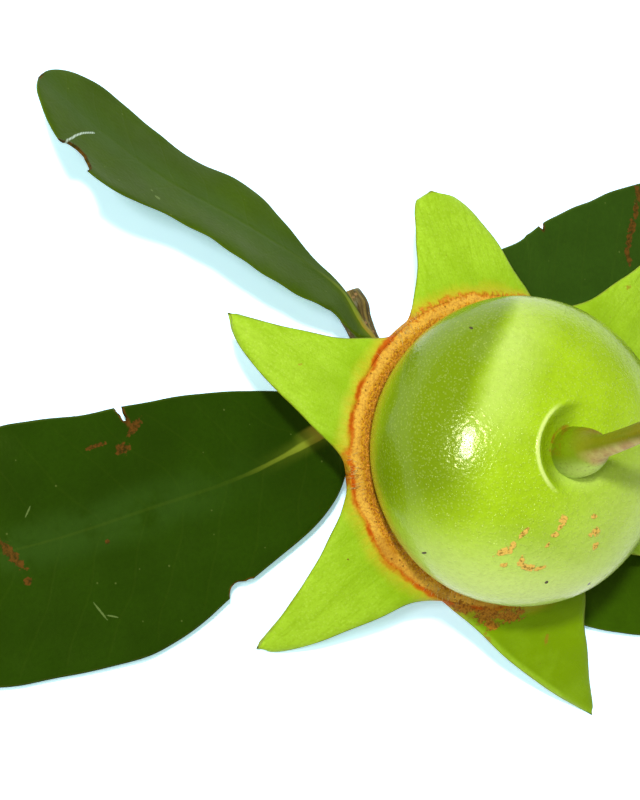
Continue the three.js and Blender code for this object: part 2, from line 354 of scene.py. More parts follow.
class Shading:
    """Short calls that add nodes to one tree and wire them together."""

    def __init__(self, tree):
        self.tree = tree

    def feed(self, socket, value):
        if isinstance(value, bpy.types.NodeSocket):
            self.tree.links.new(value, socket)
        elif socket.type == "RGBA":
            socket.default_value = (*tuple(value)[:3], 1)
        else:
            socket.default_value = value

    def add(self, kind, *values, out=0, given=None, **inputs):
        node = self.tree.nodes.new("ShaderNode" + kind)
        for key, value in (given or {}).items():
            setattr(node, key, value)
        for socket, value in zip(node.inputs, values):
            self.feed(socket, value)
        for key, value in inputs.items():
            self.feed(node.inputs[key.replace("_", " ")], value)
        return node.outputs[out]

    def math(self, operation, *values):
        return self.add("Math", *values, given={"operation": operation})

    def vector(self, operation, *values, out=0):
        return self.add("VectorMath", *values, given={"operation": operation}, out=out)

    def step(self, value, low, high):
        """0 below low and 1 above high, eased between; low may be the larger."""
        given = {"interpolation_type": "SMOOTHSTEP"}
        return self.add("MapRange", value, given=given, From_Min=low, From_Max=high)

    def mix(self, factor, a, b, blend="MIX"):
        node = self.tree.nodes.new("ShaderNodeMix")
        node.data_type = "RGBA"
        node.blend_type = blend
        for index, value in ((0, factor), (6, a), (7, b)):
            self.feed(node.inputs[index], value)
        return node.outputs[2]

    def plus(self, a, b):
        return self.math("ADD", a, b)

    def minus(self, a, b):
        return self.math("SUBTRACT", a, b)

    def most(self, a, b):
        return self.math("MAXIMUM", a, b)

    def linear(self, value, slope, start):
        """The value times slope, plus start."""
        return self.math("MULTIPLY_ADD", value, slope, start)

    def near(self, value, reach, core):
        """1 where a value is within core of nought, fading to 0 at reach."""
        return self.step(self.math("ABSOLUTE", value), reach, core)

    def times(self, first, *rest):
        """Several values multiplied together."""
        for value in rest:
            first = self.math("MULTIPLY", first, value)
        return first

    def over(self, base, tone, *masks):
        """A tone laid over a base colour where all of the masks say."""
        return self.mix(self.times(*masks), base, tone)

    def noise(self, vector, size, detail=2.0, roughness=0.5):
        return self.add(
            "TexNoise", Vector=vector, Scale=1 / size, Detail=detail, Roughness=roughness
        )

    def wander(self, place, size, detail, reach):
        """Noise that strays to both sides of nought, half of reach each way at most."""
        return self.times(self.minus(self.noise(place, size, detail), 0.5), reach)

    def mottle(self, place, size, low, high):
        return self.group("Mottle", Place=place, Size=size, Low=low, High=high)

    def dots(self, place, spacing, size):
        return self.group("Dots", Place=place, Spacing=spacing, Size=size)

    def place(self, name="place"):
        """A vector stored on the mesh's points."""
        return self.add("Attribute", given={"attribute_name": name}, out=1)

    def parts(self, vector):
        node = self.tree.nodes.new("ShaderNodeSeparateXYZ")
        self.feed(node.inputs[0], vector)
        return node.outputs[0], node.outputs[1], node.outputs[2]

    def join(self, x, y, z):
        return self.add("CombineXYZ", x, y, z)

    def group(self, name, **inputs):
        node = self.tree.nodes.new("ShaderNodeGroup")
        node.node_tree = bpy.data.node_groups.get(name) or GROUPS[name](name)
        for key, value in inputs.items():
            self.feed(node.inputs[key], value)
        return node.outputs[0]

    def bump(self, height, distance, strength):
        """The normal of a surface with the given height, for a step of distance in metres."""
        return self.add("Bump", Height=height, Distance=distance, Strength=strength)


def group_tree(name, sockets):
    """A new shader group with the given float or vector inputs and one float output, Mask."""
    tree = bpy.data.node_groups.new(name, "ShaderNodeTree")
    for label, kind in sockets.items():
        tree.interface.new_socket(label, in_out="INPUT", socket_type="NodeSocket" + kind)
    tree.interface.new_socket("Mask", in_out="OUTPUT", socket_type="NodeSocketFloat")
    start = tree.nodes.new("NodeGroupInput")
    end = tree.nodes.new("NodeGroupOutput")
    return Shading(tree), {s.name: s for s in start.outputs}, end.inputs["Mask"]


def dots_group(name):
    """Small round dots scattered over a surface, about one to each spacing."""
    s, given, mask = group_tree(name, {"Place": "Vector", "Spacing": "Float", "Size": "Float"})
    scale = s.math("DIVIDE", 1.0, given["Spacing"])
    distance = s.add("TexVoronoi", Vector=given["Place"], Scale=scale)
    edge = s.times(given["Size"], 0.6)
    s.feed(mask, s.step(distance, given["Size"], edge))
    return s.tree


def mottle_group(name):
    """Uneven patches: 0 where their noise is under Low and 1 where it is over High."""
    sockets = {"Place": "Vector", "Size": "Float", "Low": "Float", "High": "Float"}
    s, given, mask = group_tree(name, sockets)
    scale = s.math("DIVIDE", 1.0, given["Size"])
    noise = s.add("TexNoise", Vector=given["Place"], Scale=scale, Detail=4.0, Roughness=0.6)
    s.feed(mask, s.step(noise, given["Low"], given["High"]))
    return s.tree


def mark_group(name):
    """One ragged mark: an ellipse at a place, with its own size and turn."""
    sockets = dict.fromkeys(("Place", "Centre", "Turn", "Size"), "Vector") | {"Raggedness": "Float"}
    s, given, mask = group_tree(name, sockets)
    local = s.vector("SUBTRACT", given["Place"], given["Centre"])
    local = s.add("VectorRotate", local, given={"rotation_type": "EULER_XYZ"}, Rotation=given["Turn"])
    local = s.vector("DIVIDE", local, given["Size"])
    reach = s.vector("LENGTH", local, out=1)
    ragged = s.minus(s.noise(given["Place"], 0.9, 4.0, 0.7), 0.5)
    reach = s.linear(ragged, given["Raggedness"], reach)
    s.feed(mask, s.step(reach, 1.0, 0.82))
    return s.tree


GROUPS = {"Dots": dots_group, "Mottle": mottle_group, "Mark": mark_group}


def marks(s, place, spots, raggedness=1.6):
    """The union of many marks, each given as (x, y, z, length, width, depth, turn in degrees)."""
    total = 0.0
    for x, y, z, length, width, depth, turn in spots:
        mark = s.group(
            "Mark", Place=place, Centre=(x, y, z), Turn=(0, 0, math.radians(-turn)),
            Size=(length / 2, width / 2, depth / 2), Raggedness=raggedness,
        )
        total = s.most(total, mark)
    return total


def new_material(name):
    """An empty material with its Principled BSDF, as (helper, BSDF node, material)."""
    material = bpy.data.materials.new(name)
    material.use_nodes = True
    tree = material.node_tree
    tree.nodes.clear()
    surface = tree.nodes.new("ShaderNodeBsdfPrincipled")
    output = tree.nodes.new("ShaderNodeOutputMaterial")
    tree.links.new(surface.outputs[0], output.inputs[0])
    return Shading(tree), surface, material


def dress(s, surface, **values):
    for key, value in values.items():
        s.feed(surface.inputs[key.replace("_", " ")], value)


# Green skins and leaves give their reflections a yellow-green tint.
TINT = (0.95, 1.0, 0.3)


# ---------------------------------------------------------------- berry


# Fine tones of the skin and the style.
CORK_DARK = colour(0x9A6A24)
SKIN_SPECK = colour(0x3E330C)
SEAT_MARGIN_AND_SHADE = colour(0x6A7A14)
JOINT_BROWN = colour(0x8A5206)
STYLE_SPECK = colour(0x5E3A0A)
STIGMA = colour(0x5A4418)
STYLE_GRAIN = colour(0x5F5A10)
# The recess and the lip round the style, in millimetres in the fruit's own axes.
RECESS_X = 0.4
LIP_CENTRE = (1.6, 0.4)
LIP_RADIUS = 8.0
LIP_FACES = 182
# The middle and radius of the brown wrinkle at the style's foot.
WRINKLE_CENTRE, WRINKLE_RADIUS = (0.3, 0.0), 4.2
# The border of the fuller green flank: how far it lies from the middle and how much it bends.
FLANK_X, FLANK_BEND = 16.9, 0.0195
# Corky scars and dark specks, in millimetres in the fruit's own axes: centre, size, turn.
BERRY_SCARS = [
    (-6.7, -13.2, 25.5, 2.4, 0.9, 3, 60), (-8.7, -16.2, 23.3, 3.5, 1.2, 3, 28),
    (-7.9, -15.6, 23.8, 2.0, 1.3, 3, 75), (-5.6, -17.6, 23.0, 2.4, 0.9, 3, 100),
    (-5.0, -18.4, 22.7, 2.6, 1.0, 3, -35), (-3.6, -18.6, 22.8, 1.8, 1.1, 3, 30),
    (-2.2, -18.6, 22.8, 2.0, 0.9, 3, 20), (-1.5, -13.2, 26.2, 1.5, 0.9, 3, 10),
    (-0.6, -10.8, 27.1, 1.5, 1.6, 3, 40), (-0.9, -11.9, 26.7, 1.2, 0.9, 3, 70),
    (4.9, -10.0, 27.0, 1.3, 0.9, 3, 0), (6.0, -12.4, 26.0, 1.9, 1.4, 3, 20),
    (6.8, -14.6, 24.8, 1.4, 1.2, 3, 70), (5.2, -13.0, 26.1, 1.2, 0.9, 3, 0),
    (-2.2, -14.8, 25.4, 1.1, 0.6, 3, 60), (-7.9, -18.4, 22.3, 1.2, 0.8, 3, 0),
]
BERRY_SPECKS = [
    (0.2, -20.8, 21.3, 0.7, 0.6, 2, 0), (9.3, -20.8, 18.9, 0.6, 0.6, 2, 0),
    (-18.1, -17.2, 13.9, 0.5, 0.5, 2, 0), (-14.0, 18.7, 18.0, 0.5, 0.5, 2, 0),
    (12.4, 14.8, 20.4, 0.6, 0.5, 2, 0), (20.1, 5.2, 21.2, 0.5, 0.4, 2, 0),
]


def crown_tones(s, base, place, f):
    """Painted shade inside the lip round the style, a painted highlight along the lip's crest, and
    brown wrinkles.
    """
    x, y, z = s.parts(place)
    near_top = s.step(z, 20.0, 23.0)
    off = s.vector("SUBTRACT", s.join(x, y, 0.0), (*LIP_CENTRE, 0.0))
    from_lip = s.vector("LENGTH", off, out=1)
    # Painted shade: the left side inside the lip is darkened towards the fuller green.
    left = s.step(s.linear(y, -0.25, x), 1.0, -3.6)
    inside = s.times(s.step(from_lip, LIP_RADIUS - 0.1, LIP_RADIUS - 1.1), near_top)
    base = s.over(base, f.deep, inside, s.times(left, 0.8))
    # Painted highlight: a pale line along the crest of the lip on its left side.
    crest = s.near(s.minus(from_lip, LIP_RADIUS + 0.1), 0.5, 0.1)
    crest = s.times(crest, near_top, s.step(x, -2.2, -5.2))
    base = s.over(base, f.crest, crest, 0.6)
    low = s.times(s.step(from_lip, LIP_RADIUS - 0.4, LIP_RADIUS - 3.4), s.step(y, -1.6, -4.6))
    base = s.over(base, f.pale, low, near_top, 0.3)
    wander = s.wander(place, 1.4, 3.0, 1.0)
    off = s.vector("SUBTRACT", s.join(x, y, 0.0), (*WRINKLE_CENTRE, 0.0))
    arc = s.plus(s.minus(s.vector("LENGTH", off, out=1), WRINKLE_RADIUS), wander)
    arc = s.times(s.near(arc, 0.42, 0.12), near_top)
    arc = s.times(arc, s.step(z, 31.0, 30.0))
    arc = s.times(arc, s.step(x, 0.4, -1.6), s.step(y, -1.6, 0.4))
    broken = s.mottle(place, 0.8, 0.4, 0.58)
    return s.over(base, f.wrinkle, arc, s.times(broken, 0.75))


def berry_material(f):
    """The skin: greens, pale dots and corky scars, with painted sheen, light and shade, all placed in
    the fruit's own axes.
    """
    s, surface, material = new_material("berry skin")
    place = s.place()
    x, y, z = s.parts(place)
    base = f.skin
    cloud = s.mottle(place, 12.0, 0.35, 0.72)
    base = s.over(base, f.deep, cloud, 0.3)
    # A fuller green covers one flank, with a curved border; the paler strip beside that border is a
    # painted sheen.
    back = s.most(y, 0.0)
    wander = s.wander(place, 5.0, 2.0, 2.2)
    side = s.plus(s.linear(s.times(back, back), -FLANK_BEND, x), FLANK_X)
    side = s.plus(side, wander)
    crisp, soft = s.step(side, 2.0, -1.8), s.step(side, 5.0, -4.0)
    flank = s.plus(soft, s.times(s.minus(crisp, soft), s.step(y, -2.0, 8.0)))
    flank = s.times(flank, s.step(z, 4.0, 13.0))
    flank = s.times(flank, s.step(y, -17.0, -5.0))
    # Painted sheen: a paler strip beside the flank's border.
    painted_sheen_band = s.times(s.step(side, -0.6, 1.8), s.step(side, 11.0, 2.5))
    painted_sheen_band = s.times(painted_sheen_band, s.times(s.step(y, -3.0, 8.0), s.step(z, 8.0, 16.0)))
    base = s.over(base, f.pale, painted_sheen_band, 0.42)
    base = s.over(base, f.deep, flank)
    # Paler low on the berry: partly the skin's own paler tone, partly a painted reflection of the white
    # floor.
    low = s.step(s.linear(wander, 0.8, s.times(y, -1.0)), 10.0, 24.0)
    # Painted light: the berry's right side is lightened towards the pale green.
    right = s.times(s.step(s.linear(y, -0.9, x), 0.0, 24.0), 0.45)
    base = s.over(base, f.pale, s.most(s.times(low, 0.85), right))
    # Painted shade: the berry's upper right is darkened towards the fuller green.
    painted_shade_upper_right = s.step(s.linear(x, 0.6, y), 12.0, 27.0)
    base = s.over(base, f.deep, painted_shade_upper_right, 0.3)
    fleck = s.dots(place, 0.5, 0.42)
    base = s.over(base, f.fleck, fleck, 0.09)
    spot = s.dots(place, 0.62, 0.25)
    base = s.over(base, f.fleck, spot, 0.15)
    grain = s.mottle(place, 0.9, 0.4, 0.7)
    base = s.over(base, f.deep, grain, 0.13)
    base = crown_tones(s, base, place, f)
    scar = marks(s, place, BERRY_SCARS, 2.6)
    corky = s.over(f.scar, CORK_DARK, s.step(s.noise(place, 0.45, 3.0), 0.48, 0.66))
    base = s.over(base, corky, scar, 0.92)
    base = s.over(base, SKIN_SPECK, marks(s, place, BERRY_SPECKS, 0.8))
    # Darker olive where the berry sits in the calyx: partly a thin darker margin of the skin, partly
    # painted shade in the crease.
    seat = s.step(z, 2.6, 0.6)
    base = s.over(base, SEAT_MARGIN_AND_SHADE, seat, 0.55)
    rough = s.linear(s.noise(place, 1.6, 3.0), 0.14, 0.1)
    rough = s.most(rough, s.times(scar, 0.75))
    peel = s.noise(place, 0.62, 2.0, 0.45)
    pits = s.times(fleck, 0.35)
    height = s.plus(s.plus(peel, pits), s.times(scar, 0.7))
    normal = s.bump(height, 0.00013, 0.85)
    dress(s, surface, Base_Color=base, Roughness=rough, Normal=normal)
    dress(s, surface, Specular_IOR_Level=0.26, Specular_Tint=(1.0, 1.0, 0.6))
    dress(s, surface, Coat_Weight=0.18, Coat_Roughness=0.07)
    return material


def berry_surface(f, rows=230, around=288):
    """The berry in the fruit's own axes, as rows from the seat to the style's recess."""
    seat = -3.4 * MM
    lowest = math.asin((seat - f.equator) / f.bottom)
    share = np.linspace(0, 1, rows)
    a = (lowest + (math.pi / 2 - lowest) * (1 - (1 - share) ** 1.25))[:, None]
    angle = np.linspace(0, 2 * math.pi, around, endpoint=False)[None, :]
    r = f.radius * np.cos(a)
    z = f.equator + np.where(a < 0, f.bottom, f.top) * np.sin(a)
    points = stacked(r * np.cos(angle), r * np.sin(angle), z)
    swell = 1 + 0.004 * ripple(points, 30 * MM, BERRY_WAVES, 2)
    swell = swell + 0.0018 * np.cos(6 * angle + 0.4) * np.cos(a)
    points[..., :2] *= swell[..., None]
    # The dimple round the style rises to a sharp lip on one side and runs out on the other.
    top = smoothstep(0.35, 0.8, np.sin(a))
    from_style = np.hypot(points[..., 0] - RECESS_X * MM, points[..., 1])
    dimple = f.recess_depth * hump(from_style, f.recess_radius)
    mound = 0.5 * MM * hump(from_style, 4.9 * MM, 4)
    lip_x, lip_y = (points[..., k] - LIP_CENTRE[k] * MM for k in (0, 1))
    beyond = np.hypot(lip_x, lip_y) / MM - LIP_RADIUS
    facing = smoothstep(-0.2, 0.75, np.cos(np.arctan2(lip_y, lip_x) - math.radians(LIP_FACES)))
    crest = 0.26 * hump(beyond, 0.45) + 0.2 * hump(beyond, 2.4)
    drop = 0.55 * smoothstep(0.2, -2.0, beyond) * smoothstep(-6.5, -3, beyond)
    lip = facing * (crest - drop) * MM
    points[..., 2] += top * (lip + mound - dimple - 0.1 * MM)
    pole = np.zeros_like(points[:1]) + [0, 0, seat - 0.6 * MM]
    return np.vstack([pole, points])


def style_radius(t, angle):
    """Radius of the style for t from its foot to its tip."""
    foot = 1.9 * hump(t, 0.225, 5)
    stem = 1.4 + 0.95 * np.exp(-t / 0.3)
    head = 0.5 * hump(t - 0.968, 0.022)
    collar = 0.07 * hump(t - 0.2, 0.02)
    ribs = 0.035 * np.cos(5 * angle + 3 * t) * smoothstep(0.1, 0.3, t)
    ends = np.sqrt(np.clip((1 - t) / 0.018, 0, 1))
    return (foot + stem + head + collar + ribs) * ends * MM


# The style's line in millimetres in the fruit's own axes.
STYLE_PATH = [
    (0.4, -0.2, 25.4), (0.3, 0.1, 31), (0.4, 1.3, 39), (1.3, 3.5, 48), (3.2, 6.2, 56), (6, 9.4, 63)
]
STYLE_ROWS, STYLE_AROUND = 200, 48


def style_material(f):
    """The style: green foot, red-brown joint, brown stem with a cream side, dark tip."""
    s, surface, material = new_material("style")
    _, along, _ = s.parts(s.place())
    spot = s.place("spot")
    sx, sy, sz = s.parts(spot)
    streak = s.noise(s.join(sx, sy, s.times(sz, 0.16)), 0.7, 3.0)
    olive = s.over(f.style_brown, f.style_green, s.step(streak, 0.35, 0.7))
    # The side away from the star's longest lobe is cream, flushed pink.
    level = s.linear(s.most(s.minus(sz, 30.0), 0.0), -0.16, sy)
    cream = s.over(f.style_pale, f.style_pink, s.mottle(spot, 2.6, 0.4, 0.65))
    stem = s.over(olive, cream, s.step(level, -0.3, -1.6))
    # The foot is green and meets the stem in a reddish-brown joint. Its right side takes the skin's
    # colour and its underside the pale green: painted light where the foot's wall faces away from the
    # lamps.
    beside = s.step(s.linear(sy, -0.5, sx), -2.2, 2.2)
    foot = s.over(f.style_foot, f.skin, beside, 0.9)
    foot = s.over(foot, f.pale, s.step(sy, -0.6, -2.8), 0.55)
    meet = s.linear(s.minus(s.noise(spot, 1.6, 3.0), 0.5), 0.06, along)
    meet = s.linear(sy, 0.014, meet)
    base = s.over(stem, foot, s.step(meet, 0.24, 0.17))
    joint = s.times(s.step(meet, 0.17, 0.21), s.step(meet, 0.34, 0.22))
    flush = s.linear(s.noise(spot, 0.6, 3.0), 0.5, 0.35)
    flush = s.times(flush, s.linear(s.step(level, 0.4, -2.0), -0.5, 1.0))
    base = s.over(base, JOINT_BROWN, joint, flush)
    speck = s.dots(spot, 0.8, 0.26)
    near = s.step(along, 0.32, 0.14)
    base = s.over(base, STYLE_SPECK, speck, s.times(near, 0.4))
    base = crown_tones(s, base, spot, f)
    tip = s.step(along, 0.925, 0.95)
    base = s.over(base, STIGMA, tip, 0.85)
    grain = s.mottle(spot, 0.5, 0.4, 0.7)
    base = s.over(base, STYLE_GRAIN, grain, 0.16)
    height = s.plus(streak, s.times(speck, 0.4))
    dress(s, surface, Base_Color=base, Roughness=s.linear(grain, 0.2, 0.34))
    dress(s, surface, Normal=s.bump(height, 0.0001, 0.8))
    dress(s, surface, Specular_IOR_Level=0.26, Specular_Tint=TINT)
    return material


class MANGROVE_OT_berry(Operator):
    """Builds the berry, with its dimple and scars, and the style on top of it"""

    bl_idname = "mangrove.berry"
    bl_label = "Berry and style"

    def execute(self, context):
        f = context.scene.mangrove.fruit
        points = berry_surface(f)
        rows, around = points.shape[:2]
        flat = points.reshape(-1, 3)
        berry = make_piece(
            "berry_skin", fruit_to_frame(flat, f), grid_faces(rows, around, wrap=True),
            [berry_material(f)], {"place": flat / MM},
        )
        finish_piece(berry, "berry")

        line = Line(np.array(STYLE_PATH) * MM)
        points, where = tube_grid(
            line, style_radius, STYLE_AROUND, STYLE_ROWS, np.array([0, 1.0, 0])
        )
        flat = points.reshape(-1, 3)
        style = make_piece(
            "style_stem", fruit_to_frame(flat, f), grid_faces(STYLE_ROWS, STYLE_AROUND, wrap=True),
            [style_material(f)], {"place": where.reshape(-1, 3), "spot": flat / MM},
        )
        finish_piece(style, "style")
        return {"FINISHED"}


# ---------------------------------------------------------------- calyx


# Fine tones of the lobes, the stamen ring and the pieces on it.
LOBE_DOT = colour(0xDDF07A)
LOBE_SPECK = colour(0x7A5A20)
SMUDGE_BROWN = colour(0xA07020)
RING_YELLOW = colour(0xF2CC64)
RING_BURNT = colour(0xA8660E)
RING_DOT = colour(0x9C5608)
RING_SPECK = colour(0x5E300A)
SEAM = colour(0x5A3310)
CRUST_LIGHT = colour(0xC07C22)
CRUST_DARK = colour(0x7A3E08)
CUP_FOOT = colour(0x7B8430)
SCAR_TONES = (colour(0xA4600C), colour(0xE09A2C))
HAIR_TONES = (colour(0xC88A30), colour(0xEFD68C))
# How much of the ring's orange is left, in red, green and blue, where it is darkest.
TAN_DARK = (0.62, 0.42, 0.2)
# Each lobe: direction and half angle in degrees, then reach, fall, sideways bend and half width
# of the tip in millimetres, then the half width and the power of the taper of its two flanks.
LOBES = [
    (102, 33.5, 44.5, 9.3, -0.2, 2.2, (8.1, 0.71), (9.5, 0.5)),
    (164, 28.5, 48.3, 9.4, -6.8, 0.4, (8.5, 0.5), (10.4, 0.95)),
    (223.4, 31, 49.4, 12.1, 1.3, 0.4, (10.4, 0.56), (11.1, 1.25)),
    (284, 33, 49.2, 7.65, 15, 0.4, (15.3, 0.8), (10.9, 0.95)),
    (343, 28, 47, 8.4, -2, 0.9, (8, 0.8), (8, 0.8)),
    (40, 30, 54, 9, 4, 0.9, (9.5, 0.8), (8.7, 0.8)),
]
# Height of the calyx's upper side at distances from its middle, and of its underside.
CALYX_TOP = [(0, -4.6), (12, -4.6), (17, -4.3), (20, -2.6), (21.6, -0.5), (22.4, 0.45), (23.2, 0.8),
             (24.6, 1.05), (25.5, 0.75), (26, 0.55)]
CALYX_UNDER = [(0, -7.2), (3.4, -7.2), (5, -6.95), (8, -6.75), (14, -6.1), (20, -4.9), (23.5, -3.3),
               (25, -2.2), (26, -1.45)]
# The direction of the lobe painted darker as shade, and of the lobe whose base is brushed orange.
SHADED_LOBE = 284
BRUSHED = (-0.21, 0.98, 0.0)
# The little pieces on the ring: their number and the starts of their random draws.
SCAR_COUNT, SCAR_SEED, HAIR_SEED = 1500, 21, 22
# Marks in millimetres in the fruit's own axes: centre, size, turn.
SMUDGES = [
    (11.8, -38.0, -2.0, 1.6, 1.1, 8, 30), (13.6, -31.2, -1.0, 0.8, 2.6, 8, 0),
    (2.2, -31.6, -1.0, 1.2, 2.8, 8, 35), (-34.0, 12.0, 0.0, 1.4, 0.5, 8, 20),
    (30.5, 6.5, 0.0, 2.0, 0.8, 8, 50), (27.0, 30.0, 0.0, 1.6, 0.9, 8, 10),
]
RUST_PATCHES = [
    (1.0, -27.6, 0.0, 5.0, 2.8, 6, -5), (5.4, -27.2, 0.0, 5.4, 3.0, 6, 10),
    (-3.6, -26.2, 0.0, 4.0, 2.2, 6, -20), (2.4, -29.2, 0.0, 2.2, 1.6, 6, 0),
    (14.5, 23.8, 0.0, 4.0, 1.8, 6, -30),
]
# Points across a lobe, and rows over the ring and the lobe.
LOBE_COLUMNS = 44
RING_ROWS = 46
LOBE_ROWS = 110


def lobe_grid(lobe, c):
    """One sixth of the calyx: upper and lower points and shading places, rows going outwards."""
    at, half, reach, fall, bend, tip, left, right = lobe
    half = math.radians(half)
    rim = c.rim_radius / MM
    w = np.linspace(-1, 1, LOBE_COLUMNS)
    u = 0.55 * w + 0.45 * np.sin(w * math.pi / 2)
    inner = np.concatenate([np.linspace(0, 19, 10), np.linspace(20, rim, RING_ROWS - 10)])
    v = np.linspace(0, 1, LOBE_ROWS)[1:] ** 1.15

    # Rows within the rim lie on arcs.
    arc_x = inner[:, None] * np.cos(u * half)
    arc_y = inner[:, None] * np.sin(u * half)
    sinus, widest = rim * math.cos(half), rim * math.sin(half)
    side = np.where(u > 0, left[0], right[0])[None, :]
    taper = np.where(u > 0, left[1], right[1])[None, :]
    out = v[:, None]
    flank = tip + side * (1 - out) ** taper
    flare = (widest - tip - side) * np.exp(-out / 0.12)
    rounding = np.sqrt(np.clip((1 - out) / 0.035, 0, 1))
    width = (flank + flare) * rounding
    wave = 1 + 0.025 * np.sin(out * 17 + at + side) * (1 - out)
    bulge = (rim * np.cos(u * half) - sinus)[None, :] * (1 - out) ** 3
    lobe_x = sinus + (reach - sinus) * out + bulge - 0.6 * (u**2)[None, :] * out**6
    lobe_y = u[None, :] * width * wave + bend * out**1.7
    x, y = np.vstack([arc_x, lobe_x]), np.vstack([arc_y, lobe_y])

    # Heights: the cup and ring inside, then the falling lobe, with its edges turned slightly.
    share = np.concatenate([np.zeros(len(inner)), v])[:, None]
    cross = u[None, :] ** 2
    middle = -0.9 - (fall - 0.9) * share**1.6
    ease = smoothstep(0, 0.14, share)
    thick = (c.thickness / MM * (1 - share**0.7) + c.edge_thickness / MM * share**0.7) / 2
    body = np.sqrt(np.clip(1 - np.abs(u[None, :]) ** 9, 0.0, 1))
    edge_turn = 0.55 * cross**2 * np.sin(math.pi * np.clip(share * 1.15, 0, 1)) - 0.5 * cross * share
    keel = 0.5 * hump(y - bend * share**1.7, 1.3) * (1 - share) * ease
    place = stacked(x, y, middle)
    wobble = 0.16 * ripple(place + at, 11.0, LOBE_WAVES + int(at), 2) * ease
    lobe_top = middle + thick * body + edge_turn + wobble + keel * 0.35
    lobe_under = middle - thick * body + edge_turn + wobble - keel
    radius = np.hypot(x, y)
    ring_top = through(CALYX_TOP, np.minimum(radius, rim))
    ring_under = through(CALYX_UNDER, np.minimum(radius, rim))
    top = ring_top * (1 - ease) + lobe_top * ease
    under = ring_under * (1 - ease) + lobe_under * ease
    # The flank of a lobe closes at its edge from the notch outwards.
    shut = smoothstep(0, 0.06, share) * (1 - body)
    mean = (top + under) / 2
    top, under = top + (mean - top) * shut, under + (mean - under) * shut
    ribs = 0.3 * hump(y / np.maximum(radius, 3), 0.09) * smoothstep(4, 9, radius)
    under = under - ribs * (1 - ease) * smoothstep(26, 20, radius)

    edge = (1 - np.abs(u[None, :])) * np.vstack([arc_x * math.tan(half), width * np.ones_like(u)])
    zone = stacked(radius, np.where(share > 0, edge, 9.0), share)
    lobe_place = stacked(x, y - bend * share**1.7, at)
    turn = math.radians(at)
    tx, ty = x * math.cos(turn) - y * math.sin(turn), x * math.sin(turn) + y * math.cos(turn)
    return stacked(tx, ty, top), stacked(tx, ty, under), zone, lobe_place


